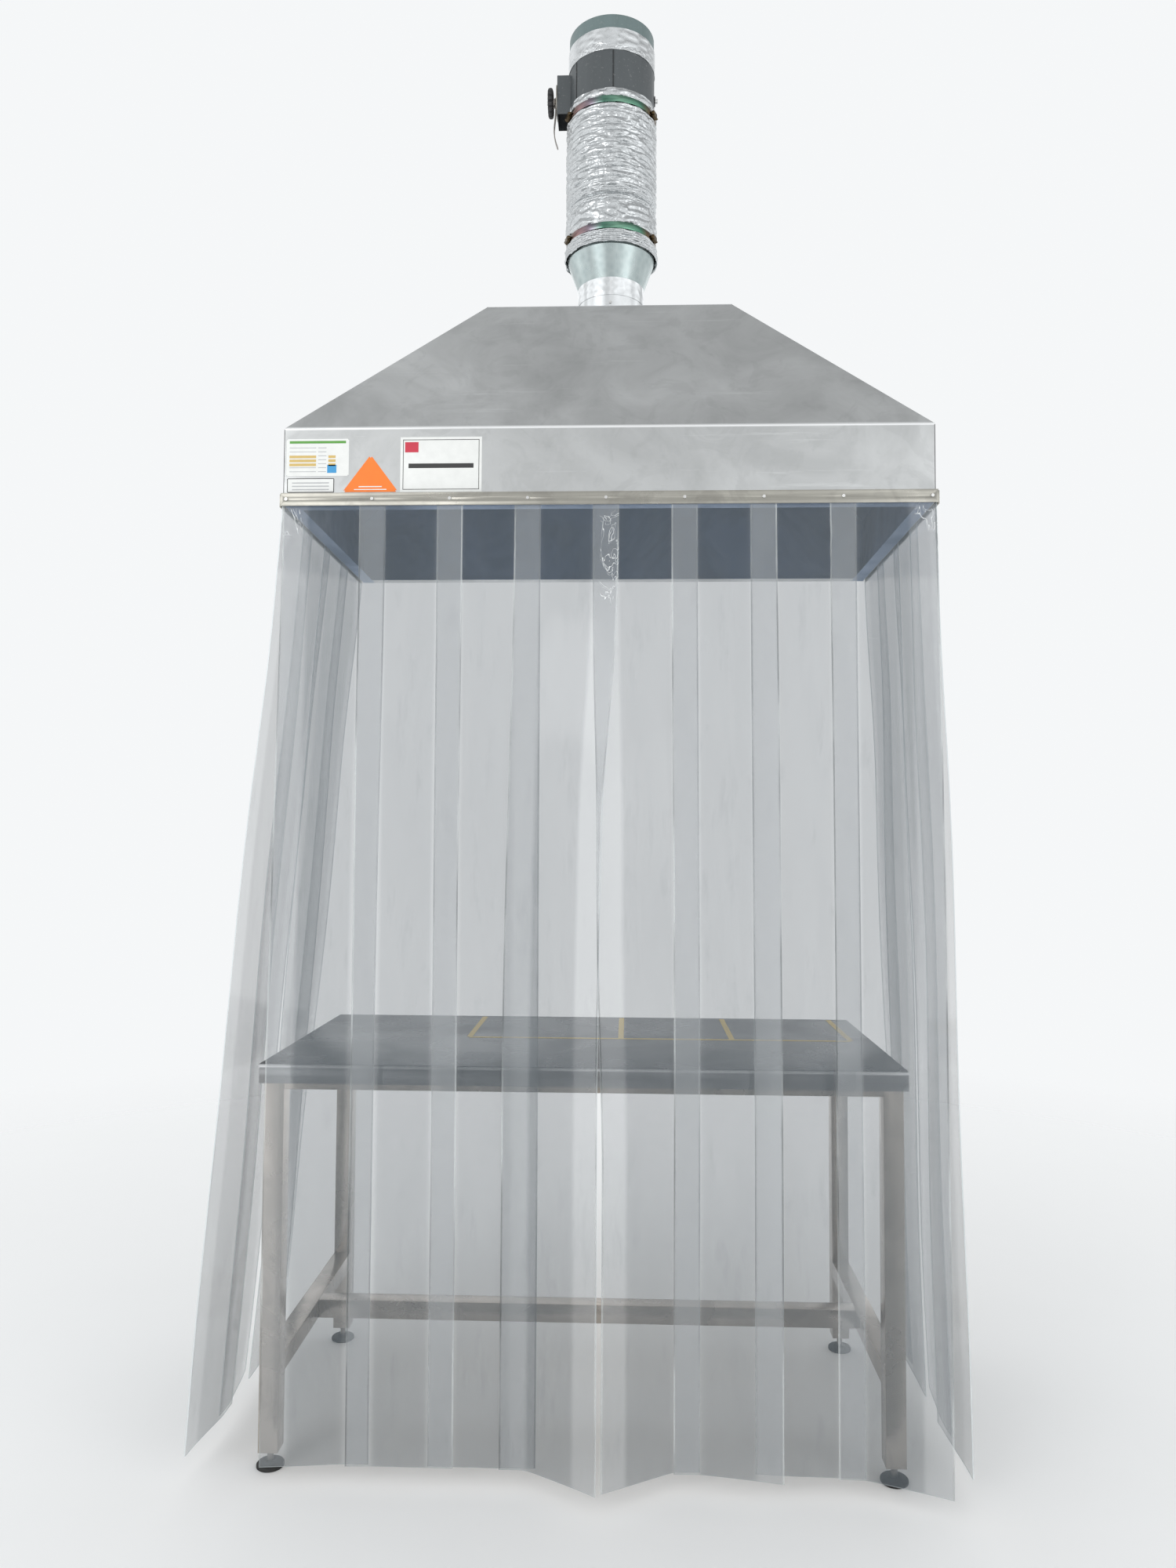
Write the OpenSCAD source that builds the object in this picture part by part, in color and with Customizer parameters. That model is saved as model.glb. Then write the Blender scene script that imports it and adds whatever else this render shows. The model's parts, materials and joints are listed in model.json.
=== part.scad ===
// Wall-mounted extraction canopy with a clear strip curtain, its duct with a balancing damper,
// and the stainless bench that stands under it. Millimetres, +Z up, the wall is on the +Y side.
// The origin is on the floor, in the middle of the whole assembly.

/* [Canopy] */
// Width of the canopy along the wall
canopy_w = 1250; // [1000:10:1500]
// Depth of the canopy from its front to the wall
canopy_d = 650; // [600:10:800]
// Height of the skirt's lower edge above the floor
skirt_z = 1835; // [1750:5:1950]
// Height of the upright skirt
skirt_h = 152; // [120:1:200]
// Height of the sloping part above the skirt
slope_h = 343; // [250:1:450]
// Width of the flat top plate
top_w = 524; // [450:1:600]
// Depth of the flat top plate
top_d = 430; // [380:1:480]
// Thickness of the canopy's sheet steel
sheet_t = 1.2; // [0.8:0.1:2]
// Width of the lip folded in under the skirt
lip_w = 30; // [15:1:40]

/* [Strip curtain] */
// Width of one clear strip
strip_w = 200; // [180:5:220]
// Thickness of one clear strip
strip_t = 2; // [1:0.5:3]
// Clearance between a strip's lower end and the floor
strip_floor_gap = 35; // [20:5:100]
// Height of the clamping rails
rail_h = 25; // [20:1:40]
// Thickness of the clamping rails
rail_t = 3; // [2:0.5:5]
// Turn of the fourth front strip, whose right edge stands forward, in degrees
middle_turn = 30; // [22:1:32]
// Turn of the sixth front strip in degrees
sixth_turn = 9; // [1:1:15]
// Turn of the last front strip in degrees
last_turn = 20; // [1:1:21]
// Outward lean of the left curtain, held off the bench's end, in degrees
left_lean = 4.4; // [3:0.1:8]
// Outward lean of the right curtain in degrees
right_lean = 1.5; // [0.5:0.1:4]

/* [Duct] */
// Outside diameter of the collar on the canopy
collar_d = 152; // [120:1:180]
// Outside diameter of the duct above the reducer
duct_d = 200; // [180:1:220]
// Wall thickness of the rigid ducts
duct_t = 0.8; // [0.6:0.1:1.5]
// Distance of the duct's axis behind the canopy's middle
duct_y = 110; // [80:5:120]
// Height of the flexible duct's lower end
flex_z = 2533; // [2520:1:2560]
// Length of the flexible duct
flex_l = 358; // [300:1:420]
// Number of pleats in the flexible duct
flex_pleats = 22; // [12:1:30]
// Height of the damper shaft's axis
damper_z = 2925; // [2915:1:2935]
// Height of the open upper end of the exhaust duct
outlet_z = 3065; // [3060:5:3300]

/* [Bench] */
// Width of the bench
bench_w = 1230; // [1000:10:1240]
// Depth of the bench
bench_d = 600; // [500:10:600]
// Height of the worktop
bench_h = 762; // [700:1:950]
// Height of the worktop's folded edge
bench_edge = 37; // [30:1:45]
// Sideways offset of the bench from the canopy's middle
bench_x = -44; // [-50:1:0]
// Outside size of the square tube
tube_w = 38; // [30:1:40]
// Wall thickness of the square tube
tube_t = 1.5; // [1:0.1:3]
// Height of the lower stretchers' underside
stretcher_z = 170; // [100:5:300]
// Gap between the legs and the floor, filled by the feet
leg_z = 32; // [28:1:45]
// Diameter of the foot pads
pad_d = 52; // [40:1:60]

/* [Hidden] */
$fn = 64;

steel = [0.68, 0.69, 0.68];
rail_steel = [0.61, 0.6, 0.56];
tube_steel = [0.55, 0.52, 0.49];
clear = [0.85, 0.9, 0.92, 0.35];
foil = [0.8, 0.82, 0.84];
zinc = [0.6, 0.64, 0.62];
dark_grey = [0.3, 0.33, 0.34];
green_grey = [0.33, 0.41, 0.41];
black = [0.05, 0.05, 0.05];
board_brown = [0.55, 0.42, 0.28];
card_white = [0.92, 0.92, 0.9];

// Canopy heights, and how far the slopes run in
eave_z = skirt_z + skirt_h;
top_z = eave_z + slope_h;
half_w = canopy_w / 2;
half_d = canopy_d / 2;
top_front_y = half_d - top_d;

// Curtain: two layers outside the skirt, clamped by the rail
front_count = 8;
side_count = 4;
layer_gap = 0.3;
layer_step = strip_t + layer_gap;
rail_out = 2 * strip_t + layer_gap;
rail_z = skirt_z - 2;
screw_z = rail_z + rail_h / 2;
front_pitch = (canopy_w - strip_w) / (front_count - 1);
strip_overlap = strip_w - front_pitch;
corner_gap = 1;
side_pitch = (canopy_d - 2 * corner_gap - strip_w) / (side_count - 1);
pivot_z = rail_z - layer_gap - strip_t / 2;
strip_l = pivot_z - strip_floor_gap;
bead_r = strip_t / 2 - 0.1;

// Lasting turn of each front strip's lower part, which stands its right edge forward
front_turns = [0, 0, 0, middle_turn, 0, sixth_turn, 0, last_turn];
turn_share = 0.35;
turn_rings = 28;

// Rail screws
rail_end_reach = 3;
screw_r = 2.4;
screw_hole_r = 2.6;
screw_head_r = 4;
screw_head_h = 2.6;
screw_out = 6;
nut_r = 4.4;
nut_h = 4;
end_screw_inset = 8;
corner_screw_inset = 12;
front_screws = concat([for (i = [0 : front_count - 2]) front_pitch * (i + 1 - front_count / 2)],
                      [-half_w + end_screw_inset, half_w - end_screw_inset]);
side_screws = concat([for (i = [0 : side_count - 2]) side_pitch * (i + 1 - side_count / 2)],
                     [-half_d + corner_screw_inset, half_d - end_screw_inset]);

// Wall fixing holes in the back panel
wall_hole_r = 4.5;
wall_hole_dx = 800;
wall_hole_dz = 60;
wall_hole_z = eave_z + 113;

// Duct joints
collar_r = collar_d / 2;
duct_r = duct_d / 2;
flange_w = 18;
flange_t = 1;
cone_z = 2467;
cone_h = 65;
cone_top_z = cone_z + cone_h;
spigot_l = 44;
collar_joint_z = 2445;
collar_screw_z = 2407;
collar_screw_r = 2;
collar_screw_head_r = 4;
tape_t = 0.6;
collar_tape_z = 2425;
collar_tape_h = 41;
outlet_joint_z = 2990;
outlet_tape_z = 2982;
outlet_tape_h = 51;
outlet_spigot_h = 30;
outlet_spigot_r = duct_r - 1;
flex_top_z = flex_z + flex_l;
cuff_l = 46;
cuff_r = duct_r + 0.3;
cuff_t = 1.2;
pleat_depth = 4;
clamp_h = 12;
clamp_t = 1.4;
clamp_screw_angles = [-68, 68];
clamp_housing_w = 24;
clamp_housing_d = 9;
clamp_screw_r = 3;
clamp_screw_l = 32;
lower_clamp_z = flex_z + 33;
upper_clamp_z = flex_top_z - 32;

// Damper
shaft_r = 5;
shaft_fit = 0.05;
bush_r = 8;
bush_flange_r = 11;
bush_flange_t = 2;
bush_in = 3;
blade_r = duct_r - 4;
blade_t = 1.5;
saddle_w = 16;
saddle_h = 2 * shaft_r + 8;
saddle_places = [-52, 36];
standoff_x = duct_r + 25;
standoff_w = 64;
standoff_h = 92;
standoff_t = 1.5;
quadrant_r = 37.5;
quadrant_x = standoff_x + standoff_t + 0.5;
quadrant_t = 2;
quadrant_slot_r = 27;
quadrant_slot_w = 5;
quadrant_slot_turn = 100;
hub_r = 12;
lever_x = quadrant_x + quadrant_t + 1.5;
lever_t = 2;
lever_w = 16;
lever_l = 111;
lever_tip_l = 26;
lever_tip_bend = 14;
lever_hub_h = 3;
knob_x = lever_x + lever_t + 4;
knob_r = 32;
knob_h = 13;
knob_flutes = 16;
flute_r = 4;

// Bench
half_bw = bench_w / 2;
half_bd = bench_d / 2;
leg_x = half_bw - 26.5;
leg_y = half_bd - 30;
rail_top_z = bench_h - 12;
stem_r = 6;
stem_fit = 0.05;
plug_h = 26;
pad_h = 12;
pad_rim_h = 5;
pad_neck_r = 10;
socket_z = 4;
stem_gap = 0.2;
stem_top_z = leg_z + plug_h + 4;

// Card on the skirt
card_w = 158;
card_h = 108;
card_t = 0.8;
card_x = -318.5;
card_z = rail_z + rail_h + 2;

// The assembly's bounding box, whose middle is the origin
box_left = -half_w - 1.5 * strip_t - layer_gap - strip_l * sin(left_lean) - strip_t / 2 * cos(left_lean);
box_right = half_w + 1.5 * strip_t + layer_gap + strip_l * sin(right_lean) + strip_t / 2 * cos(right_lean);
turn_reach = (strip_w - strip_overlap) * sin(middle_turn) + strip_t / 2 * cos(middle_turn);
box_front = -half_d - 1.5 * strip_t - layer_gap - turn_reach;
mid_x = (box_left + box_right) / 2;
mid_y = (box_front + half_d) / 2;

// Moves everything from the canopy's middle to the assembly's own origin
module placed() {
    translate([-mid_x, -mid_y, 0]) children();
}

// The four places at the bench's legs
function leg_places() = [for (y = [-leg_y, leg_y], x = [-leg_x, leg_x]) [bench_x + x, y, 0]];

// A cylinder along X that starts at x0
module rod_x(x0, length, radius) {
    translate([x0, 0, 0]) rotate([0, 90, 0]) cylinder(r = radius, h = length);
}

// A straight tube about the Z axis
module tube(radius, wall, z0, height) {
    translate([0, 0, z0]) difference() {
        cylinder(r = radius, h = height, $fn = 128);
        translate([0, 0, -1]) cylinder(r = radius - wall, h = height + 2, $fn = 128);
    }
}

// A square tube along Z
module square_tube(length) {
    difference() {
        translate([-tube_w / 2, -tube_w / 2, 0]) cube([tube_w, tube_w, length]);
        translate([-tube_w / 2 + tube_t, -tube_w / 2 + tube_t, -1])
            cube([tube_w - 2 * tube_t, tube_w - 2 * tube_t, length + 2]);
    }
}

// Cross-section of one canopy side: lip, skirt and slope, with x outward and y up
module side_profile(half, top_half) {
    run = half - top_half;
    slope = atan2(slope_h, run);
    shift = sheet_t / sin(slope);
    bend = sheet_t * tan((90 - slope) / 2);
    polygon([
        [half - lip_w, skirt_z], [half, skirt_z], [half, eave_z], [top_half, top_z],
        [top_half - shift, top_z], [half - sheet_t, eave_z - bend], [half - sheet_t, skirt_z + sheet_t],
        [half - lip_w, skirt_z + sheet_t]
    ]);
}

// Plan of the front panel's share, bounded by the two hips
module front_share() {
    reach = 10;
    run_x = half_w - top_w / 2;
    run_y = top_front_y + half_d;
    polygon([
        [-half_w - reach * run_x / run_y, -half_d - reach],
        [half_w + reach * run_x / run_y, -half_d - reach],
        [top_w / 2, top_front_y], [top_w / 2 - run_x, top_front_y + run_y],
        [-top_w / 2 + run_x, top_front_y + run_y], [-top_w / 2, top_front_y]
    ]);
}

// Holes for the rail screws along the front, and along one side at a given direction
module front_screw_holes(radius) {
    for (x = front_screws)
        translate([x, -half_d + 5, screw_z]) rotate([90, 0, 0]) cylinder(r = radius, h = 20);
}

module side_screw_holes(side, radius) {
    for (y = side_screws)
        translate([side * (half_w + 5), y, screw_z]) rotate([0, 90, 0])
            cylinder(r = radius, h = 30, center = true);
}

module canopy_front() {
    color(steel) placed() difference() {
        intersection() {
            translate([-half_w, 0, 0]) rotate([90, 0, 90]) mirror([1, 0, 0])
                linear_extrude(canopy_w) side_profile(half_d, -top_front_y);
            linear_extrude(top_z + 1) front_share();
        }
        front_screw_holes(screw_hole_r);
    }
}

module canopy_side(side) {
    color(steel) placed() difference() {
        rotate([90, 0, 0]) mirror([side < 0 ? 1 : 0, 0, 0])
            translate([0, 0, -half_d + sheet_t]) linear_extrude(canopy_d - sheet_t)
                side_profile(half_w, top_w / 2);
        linear_extrude(top_z + 1) front_share();
        side_screw_holes(side, screw_hole_r);
    }
}

module canopy_back() {
    color(steel) placed() difference() {
        union() {
            translate([0, half_d, 0]) rotate([90, 0, 0]) linear_extrude(sheet_t) polygon([
                [-half_w, skirt_z], [half_w, skirt_z], [half_w, eave_z], [top_w / 2, top_z],
                [-top_w / 2, top_z], [-half_w, eave_z]
            ]);
            translate([-half_w + lip_w, half_d - lip_w, skirt_z])
                cube([canopy_w - 2 * lip_w, lip_w, sheet_t]);
        }
        for (x = [-1, 1], z = [-1, 1])
            translate([x * wall_hole_dx / 2, half_d + 1, wall_hole_z + z * wall_hole_dz / 2])
                rotate([90, 0, 0]) cylinder(r = wall_hole_r, h = sheet_t + 2);
    }
}

module canopy_top() {
    color(steel) placed() difference() {
        translate([-top_w / 2, top_front_y, top_z]) cube([top_w, top_d, sheet_t]);
        translate([0, duct_y, top_z - 1]) cylinder(r = collar_r + 0.2, h = sheet_t + 2, $fn = 128);
    }
}

module front_clamp_rail() {
    color(rail_steel) placed() difference() {
        translate([-half_w - rail_end_reach, -half_d - rail_out - rail_t, rail_z])
            cube([canopy_w + 2 * rail_end_reach, rail_t, rail_h]);
        front_screw_holes(screw_hole_r);
    }
}

module side_clamp_rail(side) {
    color(rail_steel) placed() difference() {
        translate([side * (half_w + rail_out + rail_t / 2) - rail_t / 2, -half_d + corner_gap, rail_z])
            cube([rail_t, canopy_d - corner_gap, rail_h]);
        side_screw_holes(side, screw_hole_r);
    }
}

// A pan-head screw along -Y with its head's underside at y = 0, its shank and its nut
module rail_screw(grip) {
    rotate([90, 0, 0]) cylinder(r1 = screw_head_r, r2 = screw_head_r - 1, h = screw_head_h);
    rotate([-90, 0, 0]) cylinder(r = screw_r, h = grip + screw_out);
    translate([0, grip, 0]) rotate([-90, 0, 0]) cylinder(r = nut_r, h = nut_h, $fn = 6);
}

module rail_screws() {
    grip = rail_t + rail_out + sheet_t;
    color(steel) placed() {
        for (x = front_screws) translate([x, -half_d - rail_out - rail_t, screw_z]) rail_screw(grip);
        for (y = side_screws, side = [-1, 1])
            translate([side * (half_w + rail_out + rail_t), y, screw_z])
                rotate([0, 0, side * 90]) rail_screw(grip);
    }
}

// The clamped upper ends of all the strips
module strip_heads() {
    color(clear) placed() difference() {
        union() {
            for (i = [0 : front_count - 1])
                translate([-half_w + i * front_pitch, -half_d - strip_t - (i % 2) * layer_step, rail_z])
                    cube([strip_w, strip_t, rail_h]);
            for (i = [0 : side_count - 1], side = [-1, 1])
                translate([
                    side * (half_w + strip_t / 2 + (i % 2) * layer_step) - strip_t / 2,
                    -half_d + corner_gap + i * side_pitch, rail_z
                ]) cube([strip_t, strip_w, rail_h]);
        }
        front_screw_holes(screw_hole_r);
        side_screw_holes(-1, screw_hole_r);
        side_screw_holes(1, screw_hole_r);
    }
}

// One hanging strip in the plane y = 0, its rounded upper edge on the X axis
module hanging_strip() {
    translate([0, -strip_t / 2, -strip_l]) cube([strip_w, strip_t, strip_l]);
    rod_x(0, strip_w, bead_r);
}

// How much of its turn a strip has at a share of its length
function turn_at(share) = let(u = min(share / turn_share, 1)) u * u * (3 - 2 * u);

// One ring of a turned strip: its overlap at x = 0 stays flat, and the rest stands forward
function turned_ring(share, turn) = let(
    a = -turn * turn_at(share),
    h = strip_t / 2,
    m = strip_overlap,
    run = strip_w - m
) [for (side = [-1, 1], step = [0 : 2])
    let(
        i = side < 0 ? step : 2 - step,
        x = i == 0 ? 0 : i == 1 ? m - side * h * tan(a / 2) : m + run * cos(a) - side * h * sin(a),
        y = i == 2 ? run * sin(a) + side * h * cos(a) : side * h
    ) [x, y, -share * strip_l]];

// A hanging strip that turns by degrees, so that its far edge stands forward
module turned_strip(turn) {
    points = [for (k = [0 : turn_rings]) each turned_ring(k / turn_rings, turn)];
    sides = [for (k = [0 : turn_rings - 1], c = [0 : 5])
        let(a = 6 * k + c, b = 6 * k + (c + 1) % 6)
            each (c > 2 ? [[a, b, a + 6], [b, b + 6, a + 6]] : [[a, b, b + 6], [a, b + 6, a + 6]])];
    last = 6 * turn_rings;
    ends = [
        [5, 4, 1, 0], [4, 3, 2, 1],
        [last, last + 1, last + 4, last + 5], [last + 1, last + 2, last + 3, last + 4]
    ];
    polyhedron(points, concat(ends, sides));
    rod_x(strip_overlap + 1, strip_w - strip_overlap - 2, bead_r);
}

// Strips are counted from the left, and every second one hangs in the outer layer
module front_strip(i) {
    turn = front_turns[i - 1];
    color(clear) placed()
        translate([
            -half_w + (i - 1) * front_pitch, -half_d - strip_t / 2 - ((i - 1) % 2) * layer_step, pivot_z
        ]) {
            if (turn == 0) hanging_strip();
            if (turn > 0) turned_strip(turn);
        }
}

// Side strips are counted from the front, and lean outward from their upper edge
module side_strip(i, side, lean) {
    color(clear) placed()
        translate([
            side * (half_w + strip_t / 2 + ((i - 1) % 2) * layer_step),
            -half_d + corner_gap + (i - 1) * side_pitch, pivot_z
        ]) rotate([0, -side * lean, 0]) translate([0, strip_w, 0]) rotate([0, 0, -90]) hanging_strip();
}

module sign_card() {
    color(card_white) placed()
        translate([card_x - card_w / 2, -half_d - card_t, card_z]) cube([card_w, card_t, card_h]);
}

module duct_collar() {
    color(steel) placed() translate([0, duct_y, 0]) difference() {
        union() {
            tube(collar_r, duct_t, top_z, collar_joint_z - top_z);
            tube(collar_r + flange_w, flange_w + 0.5, top_z + sheet_t, flange_t);
        }
        translate([0, 0, collar_screw_z]) rotate([90, 0, 0])
            cylinder(r = collar_screw_r + 0.2, h = collar_r + 5);
    }
}

module duct_screw() {
    color(steel) placed() translate([0, duct_y - collar_r, collar_screw_z]) rotate([90, 0, 0]) {
        cylinder(r1 = collar_screw_head_r, r2 = collar_screw_head_r - 1.2, h = 2.4);
        translate([0, 0, -screw_out]) cylinder(r = collar_screw_r, h = screw_out + 0.5);
    }
}

module collar_tape() {
    color(foil) placed() translate([0, duct_y, 0])
        tube(collar_r + tape_t, tape_t, collar_tape_z, collar_tape_h);
}

// Spigot, cone and upper spigot that goes up inside the flexible duct
module duct_reducer() {
    color(zinc) placed() translate([0, duct_y, 0]) rotate_extrude($fn = 128) polygon([
        [collar_r - duct_t, collar_joint_z], [collar_r, collar_joint_z], [collar_r, cone_z],
        [duct_r, cone_top_z], [duct_r, cone_top_z + spigot_l], [duct_r - duct_t, cone_top_z + spigot_l],
        [duct_r - duct_t, cone_top_z], [collar_r - duct_t, cone_z]
    ]);
}

// Two plain cuffs with a pleated wall between them
module flexible_duct() {
    pleats_z = flex_z + cuff_l;
    step = (flex_l - 2 * cuff_l) / flex_pleats;
    outer = [for (i = [0 : 2 * flex_pleats])
        [cuff_r + cuff_t + (i % 2) * pleat_depth, pleats_z + i * step / 2]];
    inner = [for (i = [2 * flex_pleats : -1 : 0])
        [cuff_r + (i % 2) * pleat_depth, pleats_z + i * step / 2]];
    color(foil) placed() translate([0, duct_y, 0]) rotate_extrude($fn = 96) polygon(concat(
        [[cuff_r, flex_z], [cuff_r + cuff_t, flex_z]], outer,
        [[cuff_r + cuff_t, flex_top_z], [cuff_r, flex_top_z]], inner
    ));
}

// A worm-drive band round a cuff, with a screw housing at each side
module band_clamp(z0) {
    band_r = cuff_r + cuff_t + 0.1 + clamp_t;
    groove = 2 * clamp_screw_r + 0.4;
    color(steel) placed() translate([0, duct_y, z0]) {
        tube(band_r, clamp_t, 0, clamp_h);
        for (angle = clamp_screw_angles) rotate([0, 0, angle]) {
            translate([-clamp_housing_w / 2, -band_r - clamp_housing_d, 0]) difference() {
                cube([clamp_housing_w, clamp_housing_d + clamp_t / 2, clamp_h]);
                translate([-1, clamp_screw_r, (clamp_h - groove) / 2])
                    cube([clamp_housing_w + 2, groove, groove]);
            }
            translate([0, -band_r - clamp_screw_r + 0.2, clamp_h / 2])
                rod_x(-clamp_screw_l / 2, clamp_screw_l, clamp_screw_r);
        }
    }
}

module damper_casing() {
    low_z = flex_top_z - cuff_l + 1;
    color(dark_grey) placed() translate([0, duct_y, 0]) difference() {
        tube(duct_r, duct_t, low_z, outlet_joint_z - low_z);
        translate([0, 0, damper_z]) rod_x(-duct_r - 10, duct_d + 20, bush_r);
    }
}

module damper_bushes() {
    color(black) placed() translate([0, duct_y, damper_z]) difference() {
        for (side = [0, 1]) mirror([side, 0, 0]) {
            rod_x(duct_r - bush_in, bush_in + 0.2, bush_r - 0.05);
            rod_x(duct_r + 0.2, bush_flange_t, bush_flange_r);
        }
        rod_x(-duct_r - 20, duct_d + 40, shaft_r + shaft_fit);
    }
}

// Round plate fixed beside the shaft by two saddles; it stands upright when the damper is open
module damper_blade() {
    color(zinc) placed() translate([0, duct_y, damper_z]) difference() {
        union() {
            translate([0, shaft_r + 1 + blade_t, 0]) rotate([90, 0, 0])
                cylinder(r = blade_r, h = blade_t, $fn = 128);
            for (x = saddle_places) translate([x, -shaft_r - 2, -saddle_h / 2])
                cube([saddle_w, 2 * shaft_r + 3.5, saddle_h]);
        }
        rod_x(-duct_r, duct_d, shaft_r + shaft_fit);
    }
}

module damper_shaft() {
    color(steel) placed() translate([0, duct_y, damper_z])
        rod_x(-knob_x - knob_h - 2, knob_x + knob_h + 2 + duct_r + 8, shaft_r);
}

// Folded bracket that carries the quadrant clear of the duct
module damper_standoff() {
    cuff_rise = flex_top_z - damper_z + standoff_h / 2;
    color(dark_grey) placed() translate([0, duct_y, damper_z - standoff_h / 2]) difference() {
        translate([-standoff_x - standoff_t, -standoff_w / 2, 0]) cube([60, standoff_w, standoff_h]);
        translate([-standoff_x, -standoff_w / 2 + standoff_t, -1])
            cube([80, standoff_w - 2 * standoff_t, standoff_h + 2]);
        translate([0, 0, -1]) cylinder(r = duct_r + 0.3, h = standoff_h + 2, $fn = 128);
        translate([0, 0, -1]) cylinder(r = cuff_r + cuff_t + 0.5, h = cuff_rise + 2, $fn = 128);
        translate([0, 0, standoff_h / 2]) rod_x(-standoff_x - 5, 10, shaft_r + 1);
    }
}

module damper_quadrant() {
    color(zinc) placed() translate([0, duct_y, damper_z]) difference() {
        union() {
            rod_x(-quadrant_x - quadrant_t, quadrant_t, quadrant_r);
            rod_x(-quadrant_x, 0.5, hub_r);
        }
        rod_x(-quadrant_x - 10, 20, shaft_r + 1);
        translate([-quadrant_x - quadrant_t - 1, 0, 0])
            rotate([0, 90, 0]) rotate([0, 0, 5 - quadrant_slot_turn])
                rotate_extrude(angle = quadrant_slot_turn) translate([quadrant_slot_r, 0])
                    square([quadrant_slot_w, quadrant_t + 2]);
    }
}

// Hub and a bent handle that hangs down when the damper is open
module damper_lever() {
    color(steel) placed() translate([0, duct_y, damper_z]) difference() {
        union() {
            rod_x(-lever_x - lever_t - lever_hub_h, lever_t + lever_hub_h, hub_r);
            translate([-lever_x - lever_t, -lever_w / 2, lever_tip_l - lever_l]) {
                cube([lever_t, lever_w, lever_l - lever_tip_l]);
                rotate([0, lever_tip_bend, 0]) translate([0, 0, -lever_tip_l])
                    cube([lever_t, lever_w, lever_tip_l + 1]);
            }
        }
        rod_x(-lever_x - 20, 40, shaft_r + shaft_fit);
    }
}

module damper_lock_knob() {
    color(black) placed() translate([0, duct_y, damper_z]) difference() {
        rod_x(-knob_x - knob_h, knob_h, knob_r);
        rod_x(-knob_x - knob_h - 5, knob_h + 10, shaft_r + shaft_fit);
        for (i = [0 : knob_flutes - 1]) rotate([i * 360 / knob_flutes, 0, 0])
            translate([0, knob_r + 2, 0]) rod_x(-knob_x - knob_h - 1, knob_h + 2, flute_r);
    }
}

module outlet_tape() {
    color(foil) placed() translate([0, duct_y, 0])
        tube(duct_r + tape_t, tape_t, outlet_tape_z, outlet_tape_h);
}

// The duct ends in a slightly narrower spigot, which the next duct slides over
module exhaust_duct() {
    spigot_z = outlet_z - outlet_spigot_h;
    color(green_grey) placed() translate([0, duct_y, 0]) rotate_extrude($fn = 128) polygon([
        [duct_r - duct_t, outlet_joint_z], [duct_r, outlet_joint_z], [duct_r, spigot_z],
        [outlet_spigot_r, spigot_z], [outlet_spigot_r, outlet_z], [outlet_spigot_r - duct_t, outlet_z],
        [outlet_spigot_r - duct_t, spigot_z - duct_t], [duct_r - duct_t, spigot_z - duct_t]
    ]);
}

// Folded steel worktop, open below
module bench_top() {
    color(steel) placed() translate([bench_x, 0, bench_h - bench_edge]) difference() {
        translate([-half_bw, -half_bd, 0]) cube([bench_w, bench_d, bench_edge]);
        translate([-half_bw + sheet_t, -half_bd + sheet_t, -1])
            cube([bench_w - 2 * sheet_t, bench_d - 2 * sheet_t, bench_edge + 1 - sheet_t]);
    }
}

module bench_core_board() {
    color(board_brown) placed() translate([bench_x, 0, rail_top_z])
        translate([-half_bw + 2, -half_bd + 2, 0])
            cube([bench_w - 4, bench_d - 4, bench_h - rail_top_z - sheet_t]);
}

// Square tubes between neighbouring legs, just under the board
module bench_rails() {
    color(tube_steel) placed() translate([bench_x, 0, rail_top_z - tube_w / 2]) {
        for (y = [-leg_y, leg_y]) translate([-leg_x + tube_w / 2, y, 0])
            rotate([0, 90, 0]) square_tube(2 * leg_x - tube_w);
        for (x = [-leg_x, leg_x]) translate([x, leg_y - tube_w / 2, 0])
            rotate([90, 0, 0]) square_tube(2 * leg_y - tube_w);
    }
}

module bench_legs() {
    color(tube_steel) placed()
        for (place = leg_places()) translate([place.x, place.y, leg_z]) square_tube(rail_top_z - leg_z);
}

module bench_side_stretchers() {
    color(tube_steel) placed() translate([bench_x, 0, stretcher_z + tube_w / 2])
        for (x = [-leg_x, leg_x]) translate([x, leg_y - tube_w / 2, 0])
            rotate([90, 0, 0]) square_tube(2 * leg_y - tube_w);
}

module bench_cross_stretcher() {
    color(tube_steel) placed() translate([bench_x - leg_x + tube_w / 2, 0, stretcher_z + tube_w / 2])
        rotate([0, 90, 0]) square_tube(2 * leg_x - tube_w);
}

// Threaded plugs in the legs' lower ends
module leg_plugs() {
    size = tube_w - 2 * tube_t - 0.4;
    color(black) placed() for (place = leg_places()) translate([place.x, place.y, leg_z]) difference() {
        translate([-size / 2, -size / 2, 0]) cube([size, size, plug_h]);
        translate([0, 0, -1]) cylinder(r = stem_r + stem_fit, h = plug_h + 2);
    }
}

module foot_stem(i) {
    color(steel) placed() translate(leg_places()[i - 1] + [0, 0, socket_z + stem_gap])
        cylinder(r = stem_r, h = stem_top_z - socket_z - stem_gap);
}

// Domed round pad with a socket for its stem
module foot_pad(i) {
    color(black) placed() translate(leg_places()[i - 1]) rotate_extrude() polygon([
        [0, 0], [pad_d / 2 - 1, 0], [pad_d / 2, 1], [pad_d / 2, pad_rim_h], [pad_d / 2 - 2, pad_rim_h + 2],
        [pad_neck_r + 3, pad_rim_h + 4], [pad_neck_r, pad_h], [stem_r + stem_fit, pad_h],
        [stem_r + stem_fit, socket_z], [0, socket_z]
    ]);
}

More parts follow.
